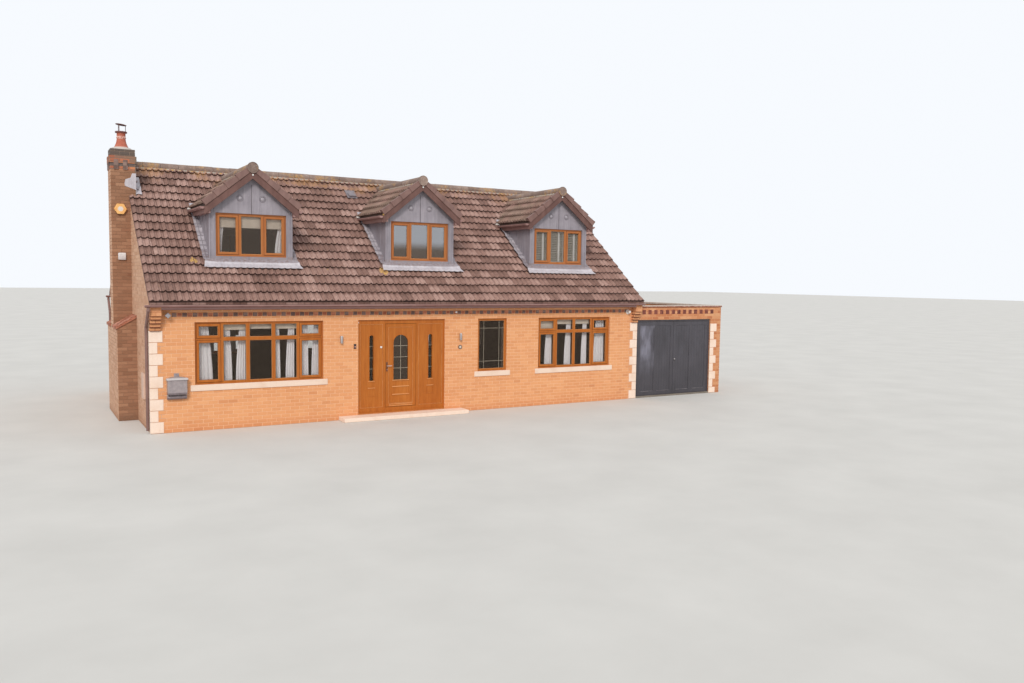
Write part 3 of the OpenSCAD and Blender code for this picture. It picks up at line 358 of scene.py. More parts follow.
WIDE, DEEP = RIGHT - LEFT, REAR - FRONT
CAP_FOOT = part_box("chimney_cap")[0].z
buff_brick = brick_finish(
    "buff_brick",
    [(0.1, rgb(214, 146, 98)), (0.35, rgb(222, 155, 106)), (0.65, rgb(228, 163, 113)),
     (0.9, rgb(235, 174, 128))],
    rgb(240, 197, 157), foot=rgb(208, 134, 88), vary=0.45,
)
# the gables take a darker, duller copy of the buff brick: in part a duller brick, in part painted shade
gable_brick = brick_finish(
    "gable_brick",
    [(0.1, rgb(176, 130, 100)), (0.35, rgb(192, 149, 120)), (0.65, rgb(202, 161, 132)),
     (0.9, rgb(214, 177, 151))],
    rgb(212, 176, 150), foot=rgb(158, 112, 84), vary=0.5,
)
aged_brick = brick_finish(
    "aged_brick",
    [(0.08, rgb(128, 92, 70)), (0.3, rgb(146, 105, 79)), (0.6, rgb(160, 117, 90)),
     (0.82, rgb(174, 131, 102)), (0.95, rgb(200, 160, 130))],
    rgb(152, 114, 90), foot=rgb(110, 80, 62), vary=0.5,
)
cap_brick = brick_finish(
    "cap_brick",
    [(0.1, rgb(150, 92, 72)), (0.4, rgb(184, 112, 82)), (0.7, rgb(204, 134, 92)),
     (0.95, rgb(212, 164, 100))],
    rgb(150, 128, 112), banded=True,
)
kneeler_brick = brick_finish(
    "kneeler_brick",
    [(0.1, rgb(202, 140, 96)), (0.4, rgb(214, 152, 106)), (0.9, rgb(224, 166, 122))],
    rgb(186, 118, 80), shaded_beds=(2.30, 2.66),
)
garage_brick = brick_finish(
    "garage_brick",
    [(0.1, rgb(176, 106, 70)), (0.35, rgb(196, 128, 86)), (0.65, rgb(209, 147, 104)),
     (0.9, rgb(220, 167, 124))],
    rgb(216, 166, 124), foot=rgb(170, 114, 84),
)
dress(buff_brick, "front_wall_left", "front_wall_right", "front_door_lintel", "rear_wall")
dress(gable_brick, "left_gable_wall", "right_gable_wall")
dress(aged_brick, "chimney_breast", "chimney_stack")
dress(cap_brick, "chimney_cap")
dress(kneeler_brick, "kneelers")
dress(garage_brick, "garage_pier", "garage_lintel", "garage_side_wall", "garage_rear_wall")


def pick(piece):
    """Makes a piece the only one selected, and the active one."""
    deselect()
    piece.select_set(True)
    bpy.context.view_layer.objects.active = piece


def modifier(piece, kind, **settings):
    """Adds one modifier and applies it."""
    pick(piece)
    made = piece.modifiers.new(kind.lower(), kind)
    for key, value in settings.items():
        setattr(made, key, value)
    bpy.ops.object.modifier_apply(modifier=made.name)


def bevel(piece, width, segments=1, angle=0.8):
    """Eases the edges that turn by more than an angle."""
    modifier(piece, "BEVEL", width=width, segments=segments,
             limit_method="ANGLE", angle_limit=angle)


def array(piece, count, step):
    """Repeats a piece at a fixed step."""
    modifier(piece, "ARRAY", count=count, use_relative_offset=False,
             use_constant_offset=True, constant_offset_displace=step)


def box(low, high):
    """A block between two corners, from a cube primitive."""
    deselect()
    low, high = Vector(low), Vector(high)
    bpy.ops.mesh.primitive_cube_add(size=1, location=(low + high) / 2)
    piece = bpy.context.object
    piece.scale = high - low
    place(piece)
    return piece


def place(piece):
    """Moves an object's place, turn and scale into its mesh."""
    pick(piece)
    bpy.ops.object.transform_apply(location=True, rotation=True, scale=True)


UPRIGHT, FACING = (0, 0, 0), (math.pi / 2, 0, 0)


def disc(radius, depth, location, vertices=24, turn=FACING):
    """A round or many-sided solid that faces the front unless it is turned."""
    deselect()
    bpy.ops.mesh.primitive_cylinder_add(
        vertices=vertices, radius=radius, depth=depth, rotation=turn, location=location)
    made = bpy.context.object
    place(made)
    return made


def join(pieces):
    """Makes one object of several."""
    deselect()
    for piece in pieces:
        piece.select_set(True)
    bpy.context.view_layer.objects.active = pieces[0]
    bpy.ops.object.join()
    return pieces[0]


def copy(piece):
    """A second object with its own mesh."""
    made = piece.copy()
    made.data = piece.data.copy()
    bpy.context.collection.objects.link(made)
    return made


def cut(piece, tool, operation="DIFFERENCE"):
    """Cuts a piece by another solid, which is then deleted."""
    modifier(piece, "BOOLEAN", object=tool, operation=operation, solver="MANIFOLD")
    bpy.data.objects.remove(tool)


def prism(points, low, high, axis):
    """A solid with an outline in (Y, Z) run along X, or in (X, Z) run along Y."""
    def corner(a, z, depth):
        return (depth, a, z) if axis == "X" else (a, depth, z)
    count = len(points)
    verts = [corner(a, z, low) for a, z in points] + [corner(a, z, high) for a, z in points]
    faces = [tuple(range(count)), tuple(range(count, 2 * count))]
    faces += [(k, (k + 1) % count, (k + 1) % count + count, k + count) for k in range(count)]
    mesh = bpy.data.meshes.new("prism")
    mesh.from_pydata(verts, [], faces)
    piece = bpy.data.objects.new("prism", mesh)
    bpy.context.collection.objects.link(piece)
    outwards(piece)
    return piece


def outwards(piece):
    """Turns every face's normal out."""
    pick(piece)
    bpy.ops.object.mode_set(mode="EDIT")
    bpy.ops.mesh.select_all(action="SELECT")
    bpy.ops.mesh.normals_make_consistent(inside=False)
    bpy.ops.object.mode_set(mode="OBJECT")


def edit_front(piece):
    """Opens a piece in edit mode with the faces that look to -Y selected."""
    pick(piece)
    bpy.ops.object.mode_set(mode="EDIT")
    bpy.ops.mesh.select_mode(type="FACE")
    bpy.ops.mesh.select_all(action="DESELECT")
    bpy.ops.object.mode_set(mode="OBJECT")
    for face in piece.data.polygons:
        face.select = face.normal.y < -0.9
    bpy.ops.object.mode_set(mode="EDIT")


def bricks(length, height, start_x=0.0, start_z=0.0):
    """A sheet of chamfered brick faces on the plane y = 0, facing -Y, laid from
    the bond's own zero so that it agrees with the drawn courses."""
    deselect()
    face_w, face_h, proud = BRICK - JOINT, COURSE - JOINT, 0.004
    bpy.ops.mesh.primitive_cube_add(size=1)
    one = bpy.context.object
    one.scale = (face_w, 2 * proud, face_h)
    place(one)
    edit_front(one)
    bpy.ops.mesh.inset(thickness=0.002, depth=0)
    bpy.ops.transform.translate(value=(0, -0.002, 0))
    bpy.ops.object.mode_set(mode="OBJECT")
    first_row, first_brick = math.floor(start_z / COURSE), math.floor(start_x / BRICK)
    across_n = math.ceil((start_x + length) / BRICK) - first_brick + 2
    rows = math.ceil((start_z + height) / COURSE) - first_row
    array(one, across_n, (BRICK, 0, 0))
    pair = copy(one)
    pair.location = (-BRICK / 2, 0, COURSE)
    place(pair)
    sheet = join([one, pair])
    sheet.location = (
        (first_brick - 0.5 + (0.0 if first_row % 2 == 0 else -0.5)) * BRICK,
        0, (first_row + 0.5) * COURSE,
    )
    place(sheet)
    array(sheet, math.ceil(rows / 2), (0, 0, 2 * COURSE))
    return sheet


TURN = {"front": 0.0, "right": 0.5, "rear": 1.0, "left": -0.5}


def brick_wall(name, side, plane, low, high, top, holes=(), bottom=0.0, made=None, outline=None):
    """One face of brickwork from low to high along the wall, cut to its outline
    and round its holes, each (low, high, bottom, top)."""
    run_x = side in ("front", "rear")
    zero = LEFT if run_x else FRONT
    backwards = side in ("rear", "left")
    start = zero - high if backwards else low - zero
    sheet = bricks(high - low, top - bottom, start, bottom)
    sheet.rotation_euler.z = TURN[side] * math.pi
    sheet.location = (zero, plane, 0) if run_x else (plane, zero, 0)
    place(sheet)
    axis = "Y" if run_x else "X"
    points = outline or [(low, bottom), (high, bottom), (high, top), (low, top)]
    cut(sheet, prism(points, plane - 0.02, plane + 0.02, axis), "INTERSECT")
    for a, b, c, d in holes:
        cut(sheet, prism([(a, c), (b, c), (b, d), (a, d)], plane - 0.03, plane + 0.03, axis))
    return keep(sheet, name, made or buff_brick)


HEAD, SILL, SILL_H, SILL_SIDE = 2.51, 1.065, 0.142, 0.105
BIG, SMALL, KITCHEN = (0.959, 3.979), (8.303, 9.212), (10.250, 12.758)
REAR_SMALL = (5.642, 6.551)
DOOR_LEFT, DOOR_RIGHT = LEFT + 4.884, LEFT + 7.309


def window_holes(*windows):
    for a, b in windows:
        yield LEFT + a, LEFT + b, SILL, HEAD
        yield LEFT + a - SILL_SIDE, LEFT + b + SILL_SIDE, SILL - SILL_H, SILL + 0.001


SOFFIT, GARAGE_TOP, GARAGE_HEAD = 2.80, 2.78, 2.40
CORNER = 0.004
brick_wall(
    "front_bricks", "front", FRONT, LEFT - CORNER, RIGHT + CORNER, SOFFIT,
    [*window_holes(BIG, SMALL, KITCHEN), (DOOR_LEFT, DOOR_RIGHT, -0.1, HEAD)],
)
brick_wall(
    "rear_bricks", "rear", REAR, LEFT - CORNER, RIGHT + CORNER, SOFFIT,
    window_holes(BIG, REAR_SMALL, KITCHEN),
)

PITCH = math.radians(38)
EAVES_OUT, EAVES_Z = 0.265, 2.975
TILE_V = 0.045 / math.cos(PITCH)


def roof_z(y):
    """Height of the main roof's tile line at y, front or rear."""
    return EAVES_Z + (REAR + EAVES_OUT - abs(y)) * math.tan(PITCH)


gable = [
    (FRONT - CORNER, 0), (REAR + CORNER, 0), (REAR + CORNER, roof_z(REAR) - TILE_V),
    (0, roof_z(0) - TILE_V), (FRONT - CORNER, roof_z(FRONT) - TILE_V),
]
breast_low, breast_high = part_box("chimney_breast")
stack_low, stack_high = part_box("chimney_stack")
SHOULDER_PITCH = math.radians(30)
BREAST_OUT_Z = breast_high.z - (breast_high.x - breast_low.x) * math.tan(SHOULDER_PITCH)
brick_wall(
    "left_gable_bricks", "left", LEFT, FRONT - CORNER, REAR + CORNER, roof_z(0),
    [
        (breast_low.y, breast_high.y, -0.1, breast_high.z),
        (stack_low.y, stack_high.y, 2.0, 7.0),
    ],
    outline=gable, made=gable_brick,
)
brick_wall(
    "right_gable_bricks", "right", RIGHT, FRONT - CORNER, REAR + CORNER, roof_z(0),
    [(FRONT - 0.1, GARAGE_REAR, -0.1, 2.63)], outline=gable, made=gable_brick,
)
brick_wall(
    "garage_front_bricks", "front", FRONT, RIGHT, GARAGE_RIGHT + CORNER, GARAGE_TOP,
    [(RIGHT - 0.1, RIGHT + 3.0, -0.1, GARAGE_HEAD)], made=garage_brick,
)
brick_wall(
    "garage_side_bricks", "right", GARAGE_RIGHT, FRONT - CORNER, GARAGE_REAR + CORNER, GARAGE_TOP,
    made=garage_brick,
)
brick_wall(
    "garage_rear_bricks", "rear", GARAGE_REAR, RIGHT, GARAGE_RIGHT + CORNER, GARAGE_TOP,
    made=garage_brick,
)

# the breast stands on the gable, and the stack rises through its shoulders
brick_wall(
    "breast_bricks", "left", breast_low.x, breast_low.y - CORNER, breast_high.y + CORNER,
    BREAST_OUT_Z, made=gable_brick,
)
brick_wall(
    "stack_outer_bricks", "left", stack_low.x, stack_low.y - CORNER, stack_high.y + CORNER,
    stack_high.z, bottom=BREAST_OUT_Z, made=gable_brick,
)
brick_wall(
    "stack_inner_bricks", "right", stack_high.x, stack_low.y - CORNER, stack_high.y + CORNER,
    stack_high.z, bottom=roof_z(stack_low.y), made=aged_brick,
)
for side, edge, stack_edge in (
    ("front", breast_low.y, stack_low.y), ("rear", breast_high.y, stack_high.y),
):
    brick_wall(
        f"breast_{side}_bricks", side, edge, breast_low.x, LEFT, breast_high.z, made=aged_brick,
        outline=[(breast_low.x, 0), (LEFT, 0), (LEFT, breast_high.z), (breast_low.x, BREAST_OUT_Z)],
    )
    brick_wall(
        f"stack_{side}_bricks", side, stack_edge, stack_low.x, stack_high.x, stack_high.z,
        bottom=BREAST_OUT_Z, made=aged_brick,
        outline=[
            (stack_low.x, BREAST_OUT_Z), (LEFT, breast_high.z), (LEFT, roof_z(stack_edge)),
            (stack_high.x, roof_z(stack_edge)), (stack_high.x, stack_high.z),
            (stack_low.x, stack_high.z),
        ],
    )

# Main roof tiles
# Interlocking concrete double-roman tiles, 300 mm cover and 336 mm gauge, laid
# in straight columns. Each is its own tile, a little out of line as laid.
GAUGE, TILE_N = 0.336, 46
ROOF_LEFT, ROOF_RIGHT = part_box("roof_lower_slopes")[0].x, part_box("roof_lower_slopes")[1].x
TILE_W = (ROOF_RIGHT - ROOF_LEFT) / TILE_N
SLOPE = (REAR + EAVES_OUT) / math.cos(PITCH)
TILE_RISE, ROLL_H, TILE_THICK = 0.034, 0.036, 0.020


def tile_roll(x, period):
    """Height of a tile's rolls at x across it."""
    t = (x / period) % 1.0
    return math.sin(math.pi * (t - 0.20) / 0.60) ** 2 * ROLL_H if 0.20 < t < 0.80 else 0.0


def tile(cover, length=0.412, rolls=2):
    """One tile, its nose at y = 0 and its upper end at y = length."""
    deselect()
    steps = 9 * rolls
    bpy.ops.mesh.primitive_grid_add(x_subdivisions=steps, y_subdivisions=2, size=1)
    made = bpy.context.object
    made.scale = (cover - 0.004, length, 1)
    made.location = (cover / 2, length / 2, 0)
    place(made)
    period = cover / rolls
    for vert in made.data.vertices:
        if vert.co.y < 0.02:
            vert.co.y = 0.0
        elif vert.co.y < length - 0.02:
            vert.co.y = 0.035
        vert.co.z = TILE_RISE * (1.2 - vert.co.y / GAUGE) + tile_roll(vert.co.x, period)
        if vert.co.y == 0.0:
            vert.co.z -= 0.004
    modifier(made, "SOLIDIFY", thickness=TILE_THICK, offset=-1)
    return made


def tiling(cover, columns, rows, seed):
    """Columns and rows of one tile, each tile jogged by a few millimetres."""
    one = tile(cover)
    per_tile = len(one.data.vertices)
    array(one, columns, (cover, 0, 0))
    array(one, rows, (0, GAUGE, 0))
    places = np.empty(len(one.data.vertices) * 3)
    one.data.vertices.foreach_get("co", places)
    places = places.reshape(-1, per_tile, 3)
    chance = np.random.default_rng(seed)
    count = len(places)
    middle = places.mean(axis=1, keepdims=True)
    tilt = chance.normal(0, 0.010, (count, 1, 2))
    jog = chance.normal(0, 1, (count, 1, 3)) * (0.0006, 0.004, 0.002)
    offset = places - middle
    places[:, :, 2:3] += (
        jog[:, :, 2:3] + tilt[:, :, :1] * offset[:, :, :1] + tilt[:, :, 1:] * offset[:, :, 1:2]
    )
    places[:, :, :2] += jog[:, :, :2]
    one.data.vertices.foreach_set("co", places.ravel())
    return one


def onto_slope(piece, x, y, z, pitch, turn=0.0):
    """Lays a sheet made flat on a slope that rises away from its foot."""
    piece.matrix_world = (
        Matrix.Translation((x, y, z)) @ Matrix.Rotation(turn, 4, "Z") @ Matrix.Rotation(pitch, 4, "X")
    )
    place(piece)
    return piece


def tile_finish(name, slope_point, cover, mossy=0.0):
    """Weathered brown-pink concrete, each tile its own shade, with lichen, and with painted shade along
    each nose and toward the next course;
    what lies deep under the slope is the plastered inside of the roof."""
    made, at = finish(name, Roughness=0.9)
    across_n, up_slope, above = slope_point(at)
    column, row = (across_n / cover).floor(), ((up_slope + 0.006) / GAUGE).floor()
    one = column.point(row, 3).cell()
    two = column.point(row, 9).cell()
    mottle = at.noise(11, 6, 0.75)
    fine = at.noise(46, 4, 0.75)
    colour = (one * 0.28 + mottle * 0.52 + fine * 0.2).colours(
        (0.28, rgb(112, 84, 75)), (0.42, rgb(140, 107, 96)), (0.55, rgb(160, 126, 115)),
        (0.68, rgb(182, 149, 138)), (0.8, rgb(204, 176, 164)))
    if mossy:
        moss = at.noise(1.6, 5, 0.7).ramp(0.32, 0.58) * (0.45 + fine * 0.5)
        colour = (moss * mossy).mix(colour, rgb(116, 100, 84))
    up_tile = ((up_slope + 0.006) / GAUGE).fract()
    # painted shade: each tile darkens toward its upper end, under the next course's nose
    colour = colour.tinted(up_tile.ramp(0.55, 1.0) * (0.25 + two * 0.35), rgb(150, 126, 116))
    pan = (0.5 - ((across_n / cover * 2).fract() - 0.5).abs()).ramp(0.16, 0.02)
    colour = colour.tinted(pan * 0.45, rgb(150, 124, 116))
    # painted shadow: the nose of each tile is darkened near black-brown along the course line
    nose = (0.085 - up_tile).ramp(0.0, 0.05)
    colour = colour.tinted(nose * 0.85, rgb(92, 68, 62))
    pale = (fine - 0.03 * two).ramp(0.60, 0.68) * (0.3 + at.noise(2.1, 3).ramp(0.4, 0.62) * 0.7)
    colour = (pale * 0.55 * (1 - nose)).mix(colour, rgb(214, 198, 186))
    patch = at.noise(3.1, 4, 0.7).ramp(0.68, 0.73) * at.noise(31, 3).ramp(0.45, 0.6)
    colour = (patch * 0.7).mix(colour, rgb(206, 166, 100))
    high = (up_slope - SLOPE + 0.95).ramp(0.0, 0.6) * at.noise(1.3, 4, 0.7).ramp(0.47, 0.60)
    colour = (high * fine.ramp(0.42, 0.6) * 0.75).mix(colour, rgb(196, 146, 88))
    for x, y, reach in ((-5.776, -3.226, 0.10), (-1.058, -3.460, 0.13), (-0.60, -3.40, 0.07)):
        x, y = at.part("X") - x, at.part("Y") - y
        clump = (reach * reach - x * x - y * y).ramp(0.0, 0.006) * fine.ramp(0.42, 0.55)
        colour = (clump * 0.85).mix(colour, rgb(228, 182, 92))
    colour = (above < -0.10).mix(colour, rgb(150, 136, 122))
    wear(
        made, Base_Color=colour, Roughness=0.82 + mottle * 0.15,
        Normal=(mottle * 0.7 + at.noise(160, 3) * 0.5).bump(0.35, 0.004),
    )
    return made


def main_slope(at):
    y, z = at.part("Y"), at.part("Z")
    out, rise = REAR + EAVES_OUT - y.abs(), z - EAVES_Z
    return (
        at.part("X") - ROOF_LEFT, out * math.cos(PITCH) + rise * math.sin(PITCH),
        rise * math.cos(PITCH) - out * math.sin(PITCH),
    )


roof_tile = tile_finish("roof_tiles", main_slope, TILE_W)
dress(
    roof_tile, "roof_lower_slopes", "roof_bay_slopes", "front_roof_upper_slope",
    "rear_roof_upper_slope",
)
DORMER_XS = [0.075 + k * 4.497 for k in (-1, 0, 1)]
DORMER_HALF, DORMER_EDGE, DORMER_TOP = 0.990, 1.130, 6.180
DORMER_PITCH = math.radians(39)
DORMER_Y, DORMER_FRONT = FRONT + 0.900, FRONT + 0.735
ROWS = math.ceil(SLOPE / GAUGE)


def dormer_z(x):
    return DORMER_TOP - abs(x) * math.tan(DORMER_PITCH)


for side, turn in (("front", 1), ("rear", -1)):
    tiles = tiling(TILE_W, TILE_N, ROWS, seed=11 if turn == 1 else 12)
    onto_slope(
        tiles, ROOF_LEFT if turn == 1 else ROOF_RIGHT, -turn * (REAR + EAVES_OUT), EAVES_Z,
        PITCH, 0.0 if turn == 1 else math.pi,
    )
    for x in DORMER_XS:
        lead_edge = DORMER_HALF + 0.02
        cut(tiles, prism(
            [(x - lead_edge, 2.5), (x + lead_edge, 2.5), (x + lead_edge, dormer_z(lead_edge)),
             (x, dormer_z(0)), (x - lead_edge, dormer_z(lead_edge))],
            *sorted((turn * DORMER_Y, 0)), "Y"))
        cut(tiles, prism(
            [(x - DORMER_EDGE, dormer_z(DORMER_EDGE) - 0.1), (x, dormer_z(0) - 0.1),
             (x + DORMER_EDGE, dormer_z(DORMER_EDGE) - 0.1), (x + DORMER_EDGE, dormer_z(DORMER_EDGE)),
             (x, dormer_z(0)), (x - DORMER_EDGE, dormer_z(DORMER_EDGE))],
            *sorted((turn * (DORMER_Y + 0.3), 0)), "Y"))
    cut(tiles, prism(
        [(-0.03 if turn == 1 else -3, 5), (3 if turn == 1 else 0.03, 5),
         (3 if turn == 1 else 0.03, 8), (-0.03 if turn == 1 else -3, 8)],
        ROOF_LEFT - 1, ROOF_RIGHT + 1, "X"))
    if turn == 1:
        cut(tiles, box((LEFT - 1, stack_low.y - 0.03, 4), (stack_high.x + 0.02, stack_high.y + 0.03, 7)))
    keep(tiles, f"{side}_roof_tiles", roof_tile)

# Stonework
# Quoins, window sills and the step are cream cast stone with eased edges, bedded
# on mortar; the quoins stand a little proud of the bricks.
def eased(node, name, width, made, body="house", segments=1):
    """A copy of a CAD node with its edges eased, shown in the node's place."""
    piece = bpy.data.objects.new(name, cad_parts[node].data.copy())
    bpy.context.collection.objects.link(piece)
    pick(piece)
    bpy.ops.object.mode_set(mode="EDIT")
    bpy.ops.mesh.select_all(action="SELECT")
    bpy.ops.mesh.remove_doubles(threshold=0.0001)
    bpy.ops.mesh.dissolve_limited(angle_limit=0.01)
    bpy.ops.object.mode_set(mode="OBJECT")
    bevel(piece, width, segments, 0.6)
    keep(piece, name, made, body)
    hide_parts(node)
    return piece


def stone_finish(name, shade):
    made, at = finish(name, Roughness=0.8)
    fine, broad = at.noise(38, 5, 0.7), at.noise(2.2, 3)
    colour = fine.colours((0.3, rgb(238, 212, 193)), (0.7, rgb(245, 223, 206)))
    colour = colour.tinted(broad.ramp(0.45, 0.7) * 0.3, rgb(228, 204, 184))
    streak = at.stretched(12, 12, 1.4).noise(1.0, 4).ramp(0.55, 0.75)
    colour = colour.tinted(streak * 0.12 + shade, rgb(206, 190, 172))
    wear(made, Base_Color=colour, Roughness=0.74 + fine * 0.2, Normal=fine.bump(0.35, 0.003))
    return made


stone = stone_finish("cream_stone", 0.0)
eased("quoins", "quoin_blocks", 0.004, stone)
# the sills take the same cream stone painted 0.15 darker, as painted shade
eased("window_sills", "stone_sills", 0.008, stone_finish("sill_stone", 0.15))
eased("front_step", "stone_step", 0.012, stone, segments=2)

# Ridges
# Half-round concrete ridge tiles, 450 mm long, on a bed of pale mortar, with
# orange and yellow lichen; each dormer's ridge ends in a round cap.
RIDGE_R, RIDGE_LIFT, RIDGE_LENGTH = 0.115, 0.015, 0.450


def ridge_row(length, count):
    """A row of half-round tiles along +X from x = 0, open below, round y = z = 0."""
    deselect()
    bpy.ops.mesh.primitive_cylinder_add(
        vertices=28, radius=RIDGE_R, depth=length / count - 0.006, end_fill_type="NOTHING",
        rotation=(0, math.pi / 2, 0), location=(length / count / 2, 0, 0),
    )
    one = bpy.context.object
    place(one)
    bpy.ops.object.mode_set(mode="EDIT")
    bpy.ops.mesh.select_all(action="SELECT")
    bpy.ops.mesh.bisect(plane_co=(0, 0, -0.075), plane_no=(0, 0, -1), clear_outer=True)
    bpy.ops.object.mode_set(mode="OBJECT")
    modifier(one, "SOLIDIFY", thickness=0.016, offset=-1)
    bevel(one, 0.003)
    array(one, count, (length / count, 0, 0))
    return one


def ridge_bed(length, slope):
    """The mortar under a row, from x = 0 to length."""
    reach = RIDGE_R + 0.012
    foot = -RIDGE_LIFT - reach * slope
    return prism(
        [(-reach, foot), (-reach, foot + 0.05), (-0.09, -0.01), (0, 0.06), (0.09, -0.01),
         (reach, foot + 0.05), (reach, foot), (0, -RIDGE_LIFT - 0.01)], 0.004, length - 0.004, "X")


ridge_tile, at = finish("ridge_tiles", Roughness=0.9)
mottle, fine = at.noise(9, 6, 0.75), at.noise(42, 4, 0.75)
one = (at.part("X") / RIDGE_LENGTH).floor().point((at.part("Y") / RIDGE_LENGTH).floor(), 4).cell()
colour = (one * 0.2 + mottle * 0.5 + fine * 0.3).colours(
    (0.3, rgb(108, 90, 82)), (0.5, rgb(140, 119, 109)), (0.7, rgb(172, 150, 138)))
colour = (at.noise(1.7, 4, 0.7).ramp(0.50, 0.60) * fine.ramp(0.44, 0.58) * 0.75).mix(
    colour, rgb(204, 156, 84))
colour = (at.noise(27, 3).ramp(0.64, 0.70) * 0.7).mix(colour, rgb(206, 198, 186))
wear(ridge_tile, Base_Color=colour, Normal=(mottle + fine * 0.4).bump(0.4, 0.005))
mortar_bed, at = finish("ridge_mortar", Roughness=0.95)
rough = at.noise(40, 5, 0.7)
colour = rough.colours((0.3, rgb(150, 138, 128)), (0.7, rgb(198, 188, 176)))
colour = (at.noise(2.4, 4, 0.7).ramp(0.5, 0.6) * at.noise(26, 3).ramp(0.42, 0.55) * 0.9).mix(
    colour, rgb(206, 158, 76))
wear(mortar_bed, Base_Color=colour, Normal=rough.bump(0.6, 0.006))
RIDGE_N, ridge_run = 31, ROOF_RIGHT - ROOF_LEFT
main_row, main_bed = ridge_row(ridge_run, RIDGE_N), ridge_bed(ridge_run, math.tan(PITCH))
for made in (main_row, main_bed):
    made.location = (ROOF_LEFT, 0, roof_z(0) + RIDGE_LIFT)
    place(made)
chance = np.random.default_rng(5)
places = np.empty(len(main_row.data.vertices) * 3)
main_row.data.vertices.foreach_get("co", places)
places = places.reshape(RIDGE_N, -1, 3)
places[:, :, 1:] += chance.normal(0, 0.0022, (RIDGE_N, 1, 2))
main_row.data.vertices.foreach_set("co", places.ravel())
keep(main_row, "main_ridge_tiles", ridge_tile)
keep(main_bed, "main_ridge_mortar", mortar_bed)

# Dormer roofs
# Each dormer has its own tiled gable roof that runs back into the main slope:
# five courses a side, the top one cut under a ridge that ends in a round cap.
DORMER_BACK = -(REAR + EAVES_OUT - (DORMER_TOP - EAVES_Z) / math.tan(PITCH))


def from_dormer(at):
    """Distance along X from the middle of the nearest dormer."""
    left, middle, right = ((at.part("X") - x).abs() for x in DORMER_XS)
    return left.least(middle).least(right)


def dormer_slope(at):
    nearest = from_dormer(at)
    above = at.part("Z") - (DORMER_TOP - nearest * math.tan(DORMER_PITCH))
    back = at.part("Y").abs() * -1 - DORMER_FRONT
    return back, (DORMER_EDGE - nearest) / math.cos(DORMER_PITCH), above + 0.06


dormer_tile = tile_finish("dormer_tiles", dormer_slope, TILE_W, mossy=0.9)
dress(dormer_tile, "dormer_roofs")
dormer_length = abs(DORMER_FRONT - DORMER_BACK)
columns = math.ceil(dormer_length / TILE_W) + 1
dormer_sheets = []
for k, x in enumerate(DORMER_XS):
    for side in (-1, 1):
        sheet = tiling(TILE_W, columns, 5, seed=20 + 2 * k + side)
        # columns run back from the front on the left slope, and forward on the right
        onto_slope(
            sheet, x + side * DORMER_EDGE,
            DORMER_FRONT + (columns * TILE_W if side < 0 else 0), dormer_z(DORMER_EDGE),
            DORMER_PITCH, side * math.pi / 2,
        )
        dormer_sheets.append(sheet)


def above_main_roof(piece):
    """Keeps what stands over the tile line of the front slope."""
    cut(piece, prism(
        [(FRONT - 1, roof_z(FRONT) - math.tan(PITCH)), (-0.15, roof_z(0.15)), (-0.15, 9), (FRONT - 1, 9)],
        ROOF_LEFT - 1, ROOF_RIGHT + 1, "X"), "INTERSECT")


def to_rear(piece):
    """Turns a piece made for the front round to the rear."""
    piece.scale = (1, -1, 1)
    place(piece)
    outwards(piece)
    return piece


def both_sides(piece, name, made):
    """Keeps a piece made for the front, and its twin at the rear."""
    rear = to_rear(copy(piece))
    keep(piece, f"front_{name}", made)
    keep(rear, f"rear_{name}", made)


for k, sheet in enumerate(dormer_sheets):
    x, side = DORMER_XS[k // 2], -1 if k % 2 == 0 else 1
    cut(sheet, prism(
        [(DORMER_FRONT + 0.004, 5), (0, 5), (0, 7), (DORMER_FRONT + 0.004, 7)],
        *sorted((x, x + side * 1.4)), "X"), "INTERSECT")
both_sides_tiles = join(dormer_sheets)
above_main_roof(both_sides_tiles)
both_sides(both_sides_tiles, "dormer_tiles", dormer_tile)

dormer_ridges, dormer_beds = [], []
for x in DORMER_XS:
    length = abs(DORMER_FRONT - DORMER_BACK) + 0.2
    for made, group in (
        (ridge_row(length, round(length / RIDGE_LENGTH)), dormer_ridges),
        (ridge_bed(length, math.tan(DORMER_PITCH)), dormer_beds),
    ):
        made.rotation_euler.z = math.pi / 2
        made.location = (x, DORMER_FRONT, DORMER_TOP + RIDGE_LIFT)
        place(made)
        group.append(made)
    cap = disc(0.135, 0.05, (x, DORMER_FRONT - 0.012, DORMER_TOP + RIDGE_LIFT), 32)
    edit_front(cap)
    bpy.ops.mesh.inset(thickness=0.028, depth=-0.010)
    bpy.ops.mesh.inset(thickness=0.012, depth=0.006)
    bpy.ops.object.mode_set(mode="OBJECT")
    bevel(cap, 0.004, 2, 0.6)
    dormer_ridges.append(cap)
dormer_ridge_tiles = join(dormer_ridges)
above_main_roof(dormer_ridge_tiles)
dormer_ridge_beds = join(dormer_beds)
above_main_roof(dormer_ridge_beds)
both_sides(dormer_ridge_tiles, "dormer_ridge_tiles", ridge_tile)
both_sides(dormer_ridge_beds, "dormer_ridge_mortar", mortar_bed)
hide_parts("ridge_tiles")

# Dormer verges
# Brown plastic verge units cap the tile edges over each bargeboard, four a side,
# each lapping the one below it.
def trim_finish(name, dark, mid, pale, eaves=False):
    """Faded brown plastic; at the eaves the gutter's upper part and the fascia's lower edge are painted
    paler, as highlights.
    """
    made, at = finish(name, Roughness=0.6)
    fade = at.noise(3.5, 4, 0.6)
    run = at.stretched(7, 7, 0.8).noise(1.0, 4)
    colour = (fade * 0.5 + run * 0.5).colours((0.25, dark), (0.5, mid), (0.75, pale))
    if eaves:
        z = at.part("Z")
        length = (at.part("X") / 2.0 + 0.3).floor().point(0, 4).cell()
        # painted highlights: the upper part of the gutter and the lower edge of the fascia are paler
        rim = (z - 2.872).ramp(0.0, 0.02)
        edge = (z < 2.862) * (z > 2.812)
        colour = (rim * (0.25 + length * 0.3)).mix(colour, rgb(190, 156, 150))
        colour = (edge * 0.55).mix(colour, rgb(188, 152, 146))
    wear(made, Base_Color=colour, Roughness=0.5 + fade * 0.3, Normal=at.noise(60, 3).bump(0.1, 0.002))
    return made


